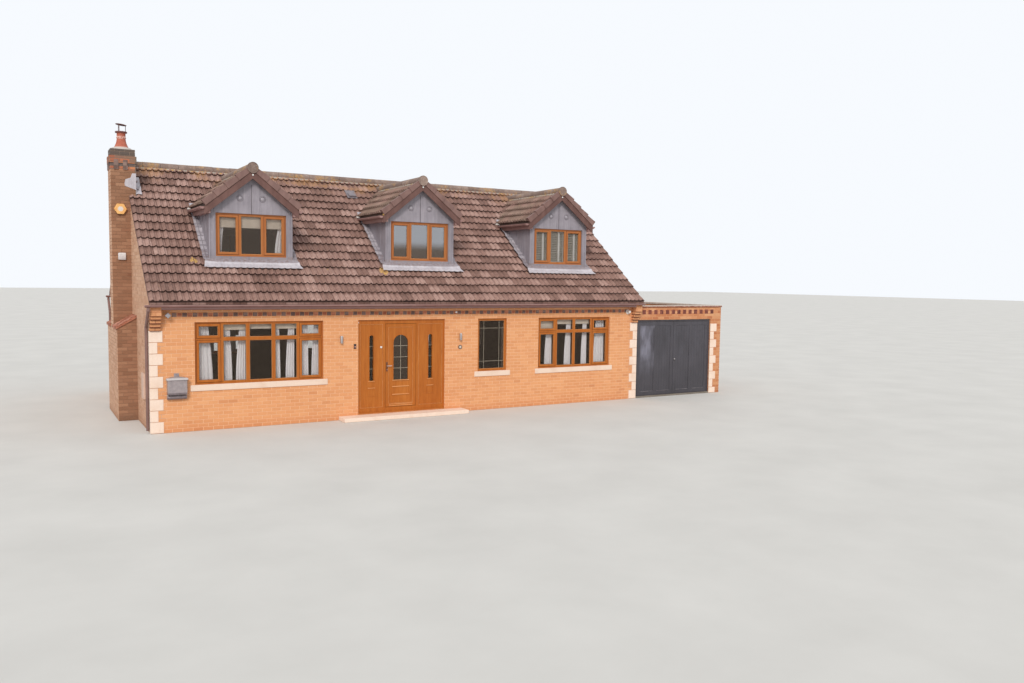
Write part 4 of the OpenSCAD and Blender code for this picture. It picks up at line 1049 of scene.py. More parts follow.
brown = trim_finish("weathered_brown", rgb(104, 76, 70), rgb(124, 94, 87), rgb(146, 114, 106))
dress(brown, "downpipes")
dress(trim_finish("eaves_plastic", rgb(96, 58, 54), rgb(122, 82, 77), rgb(150, 112, 106), True),
      "eaves_boards", "gutters")
barge = trim_finish("bargeboard_brown", rgb(84, 54, 48), rgb(102, 70, 63), rgb(126, 92, 84))
eased("dormer_bargeboards", "dormer_barges", 0.004, barge)
units = []
for side in (-1, 1):
    deselect()
    bpy.ops.mesh.primitive_cube_add(size=1)
    unit = bpy.context.object
    unit.scale = (0.352, 0.105, 0.125)
    unit.location = (0.176, 0.040, 0.022)
    place(unit)
    for vert in unit.data.vertices:
        if vert.co.x < 0.1:
            vert.co.z += 0.032 if vert.co.z > 0 else 0.0
            vert.co.y -= 0.018 if vert.co.y < 0 else 0.0
    bevel(unit, 0.006, 2, 0.6)
    array(unit, 4, (0.336, 0, 0))
    unit.rotation_euler.y = -DORMER_PITCH
    place(unit)
    unit.scale.x = -side
    place(unit)
    if side > 0:
        outwards(unit)
    for x in DORMER_XS:
        made = copy(unit)
        made.location = (x + side * DORMER_EDGE, DORMER_FRONT, dormer_z(DORMER_EDGE))
        place(made)
        units.append(made)
    bpy.data.objects.remove(unit)
both_sides(join(units), "dormer_verges", brown)

# Lead cladding
# Dormer fronts and cheeks are dressed in sheet lead: a welt up the middle of the
# gable, rolls at the corners, seams up the cheeks and two round bosses.
BOSS_OUT, BOSS_Z, SOAKER = 0.27, 5.46, 0.14


def lead_finish(name, dark, mid, pale, cladding=False, apron=None):
    """Dull sheet lead; on the cladding rain has drawn pale and brown runs."""
    made, at = finish(name, Roughness=0.55, Metallic=0.15)
    cloud = at.noise(2.6, 5, 0.65)
    run = at.stretched(15, 15, 1.0).noise(1.0, 4, 0.6)
    colour = (cloud * 0.55 + run * 0.45).colours((0.3, dark), (0.5, mid), (0.72, pale))
    bloom = (at.noise(9, 4, 0.8).ramp(0.58, 0.72)) * 0.5
    colour = bloom.mix(colour, rgb(176, 170, 176))
    dents = at.noise(5, 3)
    if apron:
        # the upper strip is as dull as the cladding and stained by the oak above
        upper = (at.part("Y").abs() < -FRONT - 0.785) * (at.part("Z") < 4.2) * (at.part("Z") > 3.7)
        colour = (upper * 0.9).mix(colour, run.colours((0.35, rgb(136, 116, 112)), (0.6, apron)))
        # each soaker laps the next beside the cheek
        off, back = from_dormer(at), at.part("Y").abs()
        beside = (off > DORMER_HALF + 0.004) * (back < -DORMER_Y) * (off < DORMER_EDGE + 0.02)
        lap = (back / SOAKER).fract() < 0.16
        lap = lap.most((off - DORMER_HALF - 0.075).abs() < 0.008)
        colour = (beside * (0.25 + lap * 0.5)).mix(colour, rgb(112, 104, 112))
    if cladding:
        off, z = from_dormer(at), at.part("Z")
        under = DORMER_TOP - off * math.tan(DORMER_PITCH) - z
        gable_edge = under.ramp(0.34, 0.14) * (z > 5.08) * at.noise(6, 4, 0.7).ramp(0.42, 0.6)
        colour = (gable_edge * 0.5).mix(colour, rgb(186, 176, 178))
        band = (z < 4.07) * run.ramp(0.42, 0.62)
        colour = (band * 0.5).mix(colour, rgb(150, 122, 108))
        streaks = at.stretched(24, 24, 1.6).noise(1.0, 4, 0.7).ramp(0.56, 0.68)
        colour = (streaks * 0.35).mix(colour, rgb(186, 178, 182))
        # round each boss the lead is painted: dark rings as shade inside and outside its collar, and a
        # paler centre as the highlight on its dome
        beside, over = (off - BOSS_OUT).abs(), z - BOSS_Z
        near = beside.maths("SQRT", beside * beside + over * over)
        colour = ((near > 0.050) * (near < 0.056) * 0.6).mix(colour, rgb(92, 84, 90))
        colour = ((near > 0.074) * (near < 0.084) * 0.6).mix(colour, rgb(104, 96, 102))
        colour = ((near < 0.05) * 0.35).mix(colour, rgb(188, 182, 188))
        seam = (off < 0.007) * (z > 5.09) * (z < 5.80)
        colour = (seam * 0.75).mix(colour, rgb(84, 76, 80))
        indoors = (off < DORMER_HALF - 0.03) * (at.part("Y").abs() < -DORMER_Y - 0.045)
        colour = indoors.mix(colour, plaster(at))
    wear(made, Base_Color=colour, Roughness=0.48 + cloud * 0.25, Normal=dents.bump(0.25, 0.010))
    return made


lead = lead_finish("sheet_lead", rgb(126, 119, 126), rgb(148, 141, 148), rgb(166, 158, 166), True)
dress(lead, "dormer_fronts", "dormer_cheeks")
welts = []


def welt(low, high):
    made = box(low, high)
    bevel(made, 0.005, 2, 0.6)
    welts.append(made)


for x in DORMER_XS:
    welt((x - 0.007, DORMER_Y - 0.010, 5.09), (x + 0.007, DORMER_Y + 0.002, 5.80))
    for side in (-1, 1):
        edge = x + side * DORMER_HALF
        for inner in (0.045, 0.105):
            middle = edge - side * inner
            welt((middle - 0.007, DORMER_Y - 0.009, 3.90), (middle + 0.007, DORMER_Y + 0.002, 5.20))
        welts.append(disc(0.017, 1.30, (edge, DORMER_Y, 4.54), 16, UPRIGHT))
        for y in (0.40, 0.80, 1.20):
            foot = roof_z(DORMER_Y + y) + 0.03
            low_x, high_x = sorted((edge - side * 0.002, edge + side * 0.013))
            welt((low_x, DORMER_Y + y - 0.010, foot), (high_x, DORMER_Y + y + 0.010, 5.07))
        deselect()
        bpy.ops.mesh.primitive_uv_sphere_add(
            segments=24, ring_count=12, radius=0.048,
            location=(x + side * BOSS_OUT, DORMER_Y, BOSS_Z))
        boss = bpy.context.object
        boss.scale.y = 0.45
        place(boss)
        bpy.ops.object.shade_smooth()
        deselect()
        bpy.ops.mesh.primitive_torus_add(
            major_segments=28, minor_segments=8, major_radius=0.062, minor_radius=0.011,
            rotation=FACING,
            location=(x + side * BOSS_OUT, DORMER_Y - 0.004, BOSS_Z))
        collar = bpy.context.object
        place(collar)
        welts += [boss, collar]
both_sides(join(welts), "lead_welts", lead)

# Lead aprons and soakers
# Under each window the lead is dressed down over the rolls of the tiles in an
# apron with flared corners; a gutter and stepped soakers follow each cheek.
DORMER_FOOT_Y = -(REAR + EAVES_OUT - (dormer_z(DORMER_EDGE) - EAVES_Z) / math.tan(PITCH))


def dressed_lead(x0, x1, y0, y1, lift, flare=0.0):
    """A sheet of lead that lies on the tiles of the front slope."""
    deselect()
    across_n = round((x1 - x0) / 0.0155)
    up_n = round((y1 - y0) / 0.026)
    bpy.ops.mesh.primitive_grid_add(x_subdivisions=across_n, y_subdivisions=up_n, size=1)
    made = bpy.context.object
    made.scale = (x1 - x0, y1 - y0, 1)
    made.location = ((x0 + x1) / 2, (y0 + y1) / 2, 0)
    place(made)
    middle, half = (x0 + x1) / 2, (x1 - x0) / 2
    for vert in made.data.vertices:
        x, y = vert.co.x, vert.co.y
        up = (y + REAR + EAVES_OUT) / math.cos(PITCH)
        course = (up / GAUGE) % 1.0
        # beaten flat over the rolls, and eased down between them at the edge
        down = (y1 - y) / (y1 - y0)
        roll = tile_roll(x - ROOF_LEFT, TILE_W / 2)
        lap = TILE_RISE * (1.2 - course) + ROLL_H - (ROLL_H - roll) * (0.06 + 0.16 * down ** 3)
        vert.co.z = roof_z(y) + (lap + lift) / math.cos(PITCH)
        vert.co.x += flare * down * ((x - middle) / half) ** 9
        vert.co.y -= flare * 0.4 * down * ((x - middle) / half) ** 8
    modifier(made, "SOLIDIFY", thickness=0.005, offset=1)
    return made


aprons = []
for x in DORMER_XS:
    aprons.append(dressed_lead(x - 1.10, x + 1.12, FRONT + 0.640, DORMER_Y + 0.004, 0.021, 0.070))
    for side in (-1, 1):
        edges = sorted((x + side * (DORMER_HALF - 0.004), x + side * (DORMER_EDGE + 0.01)))
        aprons.append(dressed_lead(*edges, DORMER_Y - 0.03, DORMER_FOOT_Y + 0.05, 0.022))
        steps = round((DORMER_FOOT_Y - DORMER_Y) / SOAKER)
        rise = SOAKER * math.tan(PITCH)
        base = roof_z(DORMER_Y) + 0.05
        soaker = prism(
            [(DORMER_Y, base), (DORMER_Y + 0.16, base + 0.16 * math.tan(PITCH)),
             (DORMER_Y + 0.16, base + rise + 0.02), (DORMER_Y, base + rise + 0.02)],
            *sorted((x + side * DORMER_HALF, x + side * (DORMER_HALF + 0.005))), "X")
        array(soaker, steps, (side * 0.0004, SOAKER, rise))
        aprons.append(soaker)
pale_lead = lead_finish("pale_lead", rgb(170, 162, 168), rgb(198, 191, 196), rgb(216, 210, 214),
                        apron=rgb(158, 150, 157))
aprons = join(aprons)
both_sides(aprons, "lead_aprons", pale_lead)
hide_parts("dormer_flashings")

blobs = []
for x in DORMER_XS:
    for side in (-1, 1):
        deselect()
        bpy.ops.mesh.primitive_ico_sphere_add(
            subdivisions=3, radius=1,
            location=(x + side * (DORMER_EDGE - 0.02), DORMER_FOOT_Y - 0.03, dormer_z(DORMER_EDGE) - 0.01))
        blob = bpy.context.object
        blob.scale = (0.10, 0.12, 0.045)
        place(blob)
        chance = np.random.default_rng(31)
        for vert in blob.data.vertices:
            vert.co += Vector(chance.normal(0, 0.004, 3))
        blobs.append(blob)
valley_bed, at = finish("valley_mortar", Roughness=0.95)
rough = at.noise(34, 5, 0.7)
wear(valley_bed, Base_Color=rough.colours((0.3, rgb(176, 166, 158)), (0.7, rgb(222, 214, 208))),
     Normal=rough.bump(0.6, 0.006))
both_sides(join(blobs), "valley_mortar", valley_bed)

# Windows
# Oak-grained plastic frames with opening outer lights, sealed glass behind a
# dark gasket and a thin bead; the rooms behind are plastered.
FRAME, MULLION, SASH, TRANSOM = 0.055, 0.072, 0.038, 0.400
FRAME_SET, GLASS_SET = 0.040, 0.063
WINDOW_H = HEAD - SILL


def lights_of(left, bottom, width, height, count, transom):
    """The glass openings of a window: (x0, z0, x1, z1)."""
    found = []
    for k in range(count):
        opens = count > 1 and k in (0, count - 1)
        x0 = left + (FRAME if k == 0 else k * width / count + MULLION / 2)
        x1 = left + (width - FRAME if k == count - 1 else (k + 1) * width / count - MULLION / 2)
        split = height - TRANSOM
        spans = [(FRAME, height - FRAME)]
        if transom:
            spans = [(FRAME, split - MULLION / 2), (split + MULLION / 2, height - FRAME)]
        gap = SASH if opens else 0.0
        for z0, z1 in spans:
            found.append((x0 + gap, bottom + z0 + gap, x1 - gap, bottom + z1 - gap))
    return found


def rings(openings, y, width, depth, ease):
    """Beads round openings in the plane y, mitred in one go."""
    planes = []
    for x0, z0, x1, z1 in openings:
        deselect()
        bpy.ops.mesh.primitive_plane_add(
            size=1, location=((x0 + x1) / 2, y, (z0 + z1) / 2), rotation=(math.pi / 2, 0, 0))
        bpy.context.object.scale = (x1 - x0, z1 - z0, 1)
        place(bpy.context.object)
        planes.append(bpy.context.object)
    made = join(planes)
    pick(made)
    bpy.ops.object.mode_set(mode="EDIT")
    bpy.ops.mesh.select_mode(type="FACE")
    bpy.ops.mesh.select_all(action="SELECT")
    bpy.ops.mesh.inset(thickness=width, use_individual=True)
    bpy.ops.mesh.delete(type="FACE")
    bpy.ops.object.mode_set(mode="OBJECT")
    modifier(made, "SOLIDIFY", thickness=depth, offset=-1)
    bevel(made, ease)
    return made


oak, at = finish("golden_oak", Roughness=0.38, Specular_IOR_Level=0.3)
grain = at.stretched(55, 55, 3.5).noise(1.0, 4, 0.6)
streak = at.stretched(9, 9, 0.7).noise(1.0, 3)
colour = (grain * 0.5 + streak * 0.5).colours(
    (0.3, rgb(160, 86, 24)), (0.5, rgb(178, 101, 34)), (0.7, rgb(192, 117, 48)))
colour = colour.tinted(at.noise(0.8, 2).ramp(0.4, 0.7) * 0.15, rgb(236, 200, 170))
# the dormers' frames have faded
colour = ((at.part("Z") > 3.9) * 0.4).mix(colour, rgb(166, 112, 78))
wear(oak, Base_Color=colour, Roughness=0.32 + grain * 0.16, Normal=grain.bump(0.12, 0.0015))
eased("window_frames", "oak_frames", 0.004, oak)
DORMER_W, DORMER_SILL, DORMER_WINDOW_H = 1.70, 4.05, 1.04


def sashes_of(found, rows):
    """The shadow gap round each opening sash, at both ends of a window."""
    reach = SASH + 0.018
    for x0, z0, x1, z1 in found[:rows] + found[-rows:]:
        yield x0 - reach, z0 - reach, x1 + reach, z1 + reach


front_lights, rear_lights, dormer_lights, sash_gaps, dormer_gaps = [], [], [], [], []
for (a, b), count in ((BIG, 5), (KITCHEN, 4)):
    found = lights_of(LEFT + a, SILL, b - a, WINDOW_H, count, True)
    front_lights += found
    rear_lights += found
    sash_gaps += sashes_of(found, 2)
front_small, rear_small = (
    lights_of(LEFT + a, SILL, b - a, WINDOW_H, 1, False) for a, b in (SMALL, REAR_SMALL))
front_lights += front_small
rear_lights += rear_small
for x in DORMER_XS:
    found = lights_of(x - DORMER_W / 2, DORMER_SILL, DORMER_W, DORMER_WINDOW_H, 3, False)
    dormer_lights += found
    dormer_gaps += sashes_of(found, 1)

# a paler copy of the oak, painted as the highlight on the beads and ledges
highlit_oak, at = finish("highlit_oak_bead", Roughness=0.35)
grain = at.stretched(4, 50, 50).noise(1.0, 3)
wear(highlit_oak, Base_Color=grain.colours((0.3, rgb(204, 134, 74)), (0.7, rgb(224, 160, 104))))
rubber = mottled("gasket_rubber", 30, 3, rgb(34, 28, 26), rgb(52, 44, 40), Roughness=0.7)
for name, made, slot_name, width, depth, ease, out in (
    ("glazing_beads", highlit_oak, "oak_trim", 0.011, 0.012, 0.003, 0.012),
    ("glazing_gaskets", rubber, "oak_trim", 0.017, 0.004, 0.001, 0.004),
):
    front = join([
        rings(front_lights, FRONT + GLASS_SET - out, width, depth, ease),
        rings(dormer_lights, DORMER_Y + GLASS_SET - out, width, depth, ease),
    ])
    back = to_rear(join([
        rings(rear_lights, FRONT + GLASS_SET - out, width, depth, ease),
        rings(dormer_lights, DORMER_Y + GLASS_SET - out, width, depth, ease),
    ]))
    keep(front, f"front_{name}", made)
    keep(back, f"rear_{name}", made)

shadow_oak = mottled("oak_in_shadow", 20, 3, rgb(92, 46, 16), rgb(116, 62, 26), Roughness=0.7)
gaps = join([
    rings(sash_gaps, FRONT + FRAME_SET - 0.003, 0.010, 0.0045, 0.001),
    rings(dormer_gaps, DORMER_Y + FRAME_SET - 0.003, 0.010, 0.0045, 0.001),
])
both_sides(gaps, "sash_gaps", shadow_oak)

# clear units: dark rooms show through; the glass upstairs is a little less clear, and a painted reflection
# of pale sky,
# # a paler tint on less clear glass, is strongest high on the middle dormer
clear, at = finish("window_glass", Metallic=1.0, Roughness=0.02)
x, z = at.part("X"), at.part("Z")
upstairs = z > 3.5
middle = ((x - DORMER_XS[1]).abs() < 1.0) * upstairs
sky_reflection_tint = (middle * (z - 4.3).ramp(0.0, 0.3)).mix(rgb(132, 118, 106), rgb(176, 176, 178))
wear(clear, Alpha=0.13 + upstairs * 0.05 + middle * (0.22 + (z - 4.3).ramp(0.0, 0.3) * 0.34),
     Base_Color=sky_reflection_tint, Roughness=0.015 + at.noise(3, 2) * 0.02)
dress(clear, "window_glass")

# the small window beside the door has lead strips over bevelled glass
x0, z0, x1, z1 = front_small[0]
near, far, half = FRONT + GLASS_SET - 0.004, FRONT + GLASS_SET + 0.001, 0.005
uprights = [x0 + (x1 - x0) * share for share in (0.2, 0.8)]
rails = [z0 + (z1 - z0) * share for share in (0.16, 0.84)]
strips = [box((x - half, near, z0), (x + half, far, z1)) for x in uprights]
strips += [box((x0, near, z - half), (x1, far, z + half)) for z in rails]
came = mottled("lead_came", 20, 3, rgb(150, 140, 124), rgb(190, 178, 158),
               Roughness=0.45, Metallic=0.4)
strips = join(strips)
bevel(strips, 0.0015)
keep(strips, "small_window_cames", came)

# Curtains and blinds
# White voile hangs from tracks in the reveals, held narrow at the top; cream
# roman and roller blinds are half drawn, and one dormer has louvred shutters.
voile, at = finish("voile", Roughness=0.9, Alpha=0.97)
weave = at.stretched(1, 1, 0.15).noise(60, 3)
wear(voile, Base_Color=weave.colours((0.3, rgb(232, 226, 228)), (0.7, rgb(250, 247, 248))))
blind_cloth, at = finish("blind_cloth", Roughness=0.9)
wear(blind_cloth, Base_Color=at.noise(5, 4).colours((0.3, rgb(206, 190, 172)), (0.7, rgb(224, 210, 194))),
     Normal=at.noise(220, 2).bump(0.2, 0.001))


def hanging(name, top, foot, z0, z1, y, made, folds, depth, rail, rear=False):
    """Cloth between two widths, (x0, x1) at the top and at the foot, in folds."""
    deselect()
    bpy.ops.mesh.primitive_grid_add(x_subdivisions=folds * 8, y_subdivisions=14, size=1)
    piece = bpy.context.object
    for vert in piece.data.vertices:
        u, v = vert.co.x + 0.5, vert.co.y + 0.5
        low = foot[0] + (foot[1] - foot[0]) * u
        high = top[0] + (top[1] - top[0]) * u
        sway = math.sin(u * folds * 2 * math.pi + math.sin(v * 5) * 0.4) * depth * (1 - 0.35 * v)
        vert.co = (low + (high - low) * v ** 1.6, y + sway, z0 + (z1 - z0) * v)
    bpy.ops.object.shade_smooth()
    if rear:
        piece.scale = (1, -1, 1)
    place(piece)
    keep(piece, name, made)
    cut_width = sum(face.area for face in piece.data.polygons) / (z1 - z0)
    z1 - z0
    return piece


def rail_wall(left, rear):
    """The wall that a rail is screwed to."""
    if rear:
        return "rear_wall"
    return "front_wall_left" if left == big_left else "front_wall_right"


VOILE_Y = FRONT + 0.175
drop_low, drop_high = SILL + 0.02, HEAD - 0.02
big_left, kitchen_left = LEFT + BIG[0], LEFT + KITCHEN[0]
voiles = [
    (big_left, (0.05, 0.32), (0.05, 0.43)), (big_left, (0.66, 0.81), (0.66, 0.87)),
    (big_left, (1.05, 1.18), (0.95, 1.18)), (big_left, (1.85, 1.97), (1.83, 2.01)),
    (big_left, (2.21, 2.35), (2.13, 2.35)), (big_left, (2.54, 2.68), (2.50, 2.70)),
    (big_left, (2.84, 2.96), (2.77, 2.96)),
    (kitchen_left, (0.41, 0.55), (0.32, 0.57)), (kitchen_left, (1.08, 1.22), (1.00, 1.23)),
    (kitchen_left, (1.66, 1.79), (1.60, 1.80)), (kitchen_left, (2.13, 2.41), (2.05, 2.43)),
]
for rear in (False, True):
    end = "rear" if rear else "front"
    for k, (left, top, foot) in enumerate(voiles):
        hanging(
            f"{end}_voile_{k + 1}", [left + v for v in top], [left + v for v in foot],
            drop_low, drop_high, VOILE_Y, voile, 4, 0.011,
            rail_wall(left, rear), rear,
        )
    drawn = [
        (big_left, 0.63, 1.18, 0.17), (big_left, 1.24, 1.78, 0.15), (big_left, 1.85, 2.39, 0.16),
        (kitchen_left, 0.06, 0.59, 0.30), (kitchen_left, 0.67, 1.22, 0.17),
        (kitchen_left, 1.29, 1.84, 0.17),
    ]
    if rear:
        drawn += [(big_left, 0.05, 0.57, 1), (big_left, 2.45, 2.97, 1), (kitchen_left, 1.91, 2.45, 1)]
        drawn = [(left, a, b, 0.85) for left, a, b, fall in drawn]
    for k, (left, a, b, fall) in enumerate(drawn):
        hanging(
            f"{end}_roman_blind_{k + 1}", (left + a, left + b), (left + a, left + b),
            HEAD - 0.03 - fall, HEAD - 0.03, FRONT + 0.140, blind_cloth, 2, 0.003,
            rail_wall(left, rear), rear,
        )
for k, (a, b) in enumerate(((-0.83, -0.32), (-0.29, 0.29), (0.32, 0.83))):
    hanging(
        f"left_dormer_blind_{k + 1}", (DORMER_XS[0] + a, DORMER_XS[0] + b),
        (DORMER_XS[0] + a, DORMER_XS[0] + b), 4.75, 5.08, DORMER_Y + 0.125, blind_cloth, 1, 0.002,
        "dormer_fronts",
    )
    for n, x in enumerate(DORMER_XS):
        hanging(
            f"rear_dormer_{n + 1}_blind_{k + 1}", (x + a, x + b), (x + a, x + b), 4.12, 5.08,
            DORMER_Y + 0.125, blind_cloth, 1, 0.002, "dormer_fronts", rear=True,
        )
for k, (a, b, c) in enumerate(((-0.83, -0.60, -0.68), (0.83, 0.76, 0.60))):
    x = DORMER_XS[0]
    hanging(
        f"left_dormer_voile_{k + 1}", sorted((x + a, x + b)), sorted((x + a, x + c)), 4.10, 5.06,
        DORMER_Y + 0.170, voile, 3, 0.010, "dormer_fronts",
    )

shutters, louvres = [], []
foot_z, head_z, stile, rail = 4.07, 5.07, 0.045, 0.06
for a, b in ((-0.80, -0.31), (-0.28, 0.28), (0.31, 0.80)):
    x0, x1 = DORMER_XS[2] + a, DORMER_XS[2] + b
    meeting = x0 * 0.40 + x1 * 0.60
    for a, low_z, b, high_z in (
        (x0, foot_z, x0 + stile, head_z), (x1 - stile, foot_z, x1, head_z),
        (x0, foot_z, x1, foot_z + rail), (x0, head_z - rail, x1, head_z),
        (meeting, foot_z, meeting + 0.055, head_z),
    ):
        shutters.append(box((a, DORMER_Y + 0.108, low_z), (b, DORMER_Y + 0.146, high_z)))
    slat = box((x0 + 0.04, -0.028, -0.004), (x1 - 0.04, 0.028, 0.004))
    bevel(slat, 0.003)
    slat.rotation_euler.x = math.radians(48)
    slat.location = (0, DORMER_Y + 0.134, 4.155)
    place(slat)
    array(slat, 17, (0, 0, 0.0515))
    louvres.append(slat)
painted = mottled("white_paint", 6, 4, rgb(214, 212, 208), rgb(232, 230, 226), Roughness=0.4)
keep(join(shutters), "shutter_frames", painted)
# the louvres take a darker copy of the white paint, painted shade between the slats
shaded_louvre_paint = mottled("louvre_paint_in_shade", 6, 4, rgb(158, 155, 144), rgb(182, 178, 168), Roughness=0.5)
keep(join(louvres), "shutter_louvres", shaded_louvre_paint)

# Front door
# A plastic-skinned door set in golden oak: side panels with arched strips of
# glass, and a leaf with arched glass, lead strips and a lever on a long plate.
eased("front_door_frame", "door_frame_oak", 0.003, oak)
eased("front_door_leaf", "door_leaf_oak", 0.003, oak, body="front_door")
dim, at = finish("door_glass", Base_Color=rgb(104, 92, 82), Metallic=1.0, Roughness=0.12)
wear(dim, Alpha=0.50 + at.noise(5, 3) * 0.2, Normal=at.spots(60).bump(0.08, 0.002))
dress(dim, "front_door_glass")
LEAF_X, ARCH_Z, ARCH_TOP, ARCH_HALF = LEFT + 6.058, 0.945, 2.114, 0.203
SIDE_LIGHTS = [LEFT + 5.2505, LEFT + 6.8930]
BAR_ZS = (1.250, 1.537, 1.828)


def strip(x0, x1, z0, z1, y):
    made = box((x0, y - 0.006, z0), (x1, y + 0.001, z1))
    bevel(made, 0.002)
    return made


bars = [strip(LEAF_X - 0.006, LEAF_X + 0.006, ARCH_Z, ARCH_TOP - 0.002, FRONT + 0.058)]
bars += [
    strip(LEAF_X - ARCH_HALF, LEAF_X + ARCH_HALF, z - 0.006, z + 0.006, FRONT + 0.058) for z in BAR_ZS
]
keep(join(bars), "door_leaf_cames", came, "front_door")
bars = [
    strip(x - 0.056, x + 0.056, z - 0.005, z + 0.005, FRONT + GLASS_SET)
    for x in SIDE_LIGHTS for z in BAR_ZS
]
keep(join(bars), "side_light_cames", came)


def ledge(x0, x1, z, out):
    """A small sloping bead that throws water clear, run along X."""
    y = FRONT + 0.048
    made = prism(
        [(y, z - 0.018), (y - out, z - 0.018), (y - out, z - 0.008), (y, z + 0.004)], x0, x1, "X")
    bevel(made, 0.002)
    return made


leaf_ledges = [
    ledge(LEAF_X - half, LEAF_X + half, z, out)
    for half, z, out in ((ARCH_HALF + 0.03, ARCH_Z, 0.022), (0.24, 0.780, 0.014),
                         (0.24, 0.575, 0.018), (0.33, 0.325, 0.016), (0.33, 0.285, 0.020))
]
bead_oak, at = finish("bead_oak", Roughness=0.35)
grain = at.stretched(30, 30, 6).noise(1.0, 3)
wear(bead_oak, Base_Color=grain.colours((0.3, rgb(176, 104, 46)), (0.7, rgb(204, 134, 76))))
keep(rings(
    [(DOOR_LEFT + 0.829, 0.330, DOOR_LEFT + 1.519, 2.320)],
    FRONT + 0.0385, 0.016, 0.010, 0.004),
    "door_leaf_bead", bead_oak, "front_door")
keep(join(leaf_ledges), "door_leaf_ledges", highlit_oak, "front_door")
side_ledges = [
    ledge(x - half, x + half, z, 0.016)
    for x in SIDE_LIGHTS for half, z in ((0.085, ARCH_Z), (0.100, 0.770))
]
panel_beads = rings(
    [(DOOR_LEFT + 0.062, 0.250, DOOR_LEFT + 0.679, 2.400),
     (DOOR_LEFT + 1.669, 0.250, DOOR_RIGHT - 0.062, 2.400)],
    FRONT + 0.0385, 0.016, 0.010, 0.004)
# the threshold's nosing covers the edge of the slab above the step
nosing = box((DOOR_LEFT + 0.004, FRONT - 0.014, 0.1005),
             (DOOR_RIGHT - 0.004, FRONT + 0.045, 0.1215))
bevel(nosing, 0.004, 2, 0.6)
keep(join([panel_beads, nosing]), "side_panel_beads", bead_oak)
keep(join(side_ledges), "side_panel_ledges", highlit_oak)
steel, at = finish("door_furniture", Roughness=0.28, Metallic=0.8)
rub = at.noise(26, 4, 0.7)
out = (FRONT + 0.030 - at.part("Y")).ramp(0.0, 0.006)
dark_plate = rub.colours((0.3, rgb(84, 62, 58)), (0.7, rgb(110, 86, 80)))
bright = rub.colours((0.3, rgb(206, 196, 190)), (0.7, rgb(232, 224, 218)))
wear(steel, Base_Color=out.mix(dark_plate, bright), Roughness=0.22 + rub * 0.25)
eased("front_door_handle", "door_lever", 0.003, steel, body="front_door", segments=2)
sensors = []
for x, z, radius in ((5.515, 1.806, 0.028), (4.907, 2.441, 0.012)):
    spy = disc(radius, 0.014, (LEFT + x, FRONT + 0.036, z))
    bevel(spy, radius / 5, 3, 0.6)
    sensors.append(spy)
keep(join(sensors), "door_frame_sensors", painted)

# Garage
# Side-hung timber doors painted dark grey under a brick lintel with a band of
# dark headers; the flat roof has a felt covering behind a ragged mortar coping.
grey, at = finish("dark_grey_paint", Roughness=0.42)
cloud = at.noise(1.4, 4, 0.6)
brush = at.stretched(50, 50, 1.2).noise(1.0, 4)
x, z = at.part("X") - RIGHT, at.part("Z")
first_panel = (x > 0.17) * (x < 0.73) * (z > 0.16) * (z < 2.22)
# a pale bluish sheen is painted on the doors, strongest on the first panel and rising up them
painted_sheen = at.stretched(5, 5, 1.6).noise(1.0, 4).ramp(0.30, 0.85) * (0.10 + first_panel * 0.75)
painted_sheen = painted_sheen * (z - 0.5).ramp(0.0, 1.0)
colour = (cloud * 0.6 + brush * 0.4).colours((0.3, rgb(58, 55, 60)), (0.7, rgb(75, 71, 77)))
colour = painted_sheen.mix(colour, rgb(138, 136, 150))
pull_x, pull_z = x - 1.559, z - 1.156
pull = ((pull_x * pull_x + pull_z * pull_z) < 0.0004) * (at.part("Y") < FRONT + 0.038)
colour = pull.mix(colour, rgb(196, 188, 184))
wear(grey, Base_Color=colour, Roughness=0.34 + cloud * 0.2, Normal=brush.bump(0.15, 0.0015))
eased("garage_door_left", "left_leaf_timber", 0.003, grey, body="garage_leaf_left")
eased("garage_door_right", "right_leaf_timber", 0.003, grey, body="garage_leaf_right")
eased("garage_door_frame", "garage_frame_timber", 0.003, grey)
# grey paler in patches, for the painted highlights at the panels' feet
highlit_grey_paint = mottled(
    "highlit_grey_paint", 9, 4, rgb(92, 86, 90), rgb(158, 152, 152), 0.35, 0.65, Roughness=0.6)
LEAF_W, STILE, PANEL_FOOT, PANEL_TOP = 1.4275, 0.110, 0.168, 2.222
panel_w = (LEAF_W - 3 * STILE) / 2
for body, x0 in (("garage_leaf_left", RIGHT + 0.068), ("garage_leaf_right", RIGHT + 1.5045)):
    panels = [
        (x0 + STILE + k * (panel_w + STILE), PANEL_FOOT,
         x0 + STILE + k * (panel_w + STILE) + panel_w, PANEL_TOP) for k in (0, 1)
    ]
    beads = rings(panels, FRONT + 0.0395, 0.014, 0.0085, 0.003)
    boards = [beads]
    for a, low_z, b, top_z in panels:
        for n in range(1, 5):
            seam_x = a + (b - a) * n / 5
            boards.append(box((seam_x - 0.003, FRONT + 0.0465, low_z + 0.014),
                              (seam_x + 0.003, FRONT + 0.0485, top_z - 0.014)))
    keep(join(boards), f"{body}_beads", grey, body)
    # a pale strip along the foot of each panel is a painted highlight on the rail's edge
    highlit_strips = join([box((a + 0.02, FRONT + 0.0400, low_z + 0.006), (b - 0.02, FRONT + 0.0465, low_z + 0.018))
                 for a, low_z, b, top_z in panels])
    bevel(highlit_strips, 0.002)
    keep(highlit_strips, f"{body}_highlit_edges", highlit_grey_paint, body)
keyhole = disc(0.020, 0.008, (RIGHT + 1.562, FRONT + 0.037, 1.105), 20)
bevel(keyhole, 0.003, 2, 0.6)
keep(keyhole, "garage_keyhole", rubber, "garage_leaf_right")

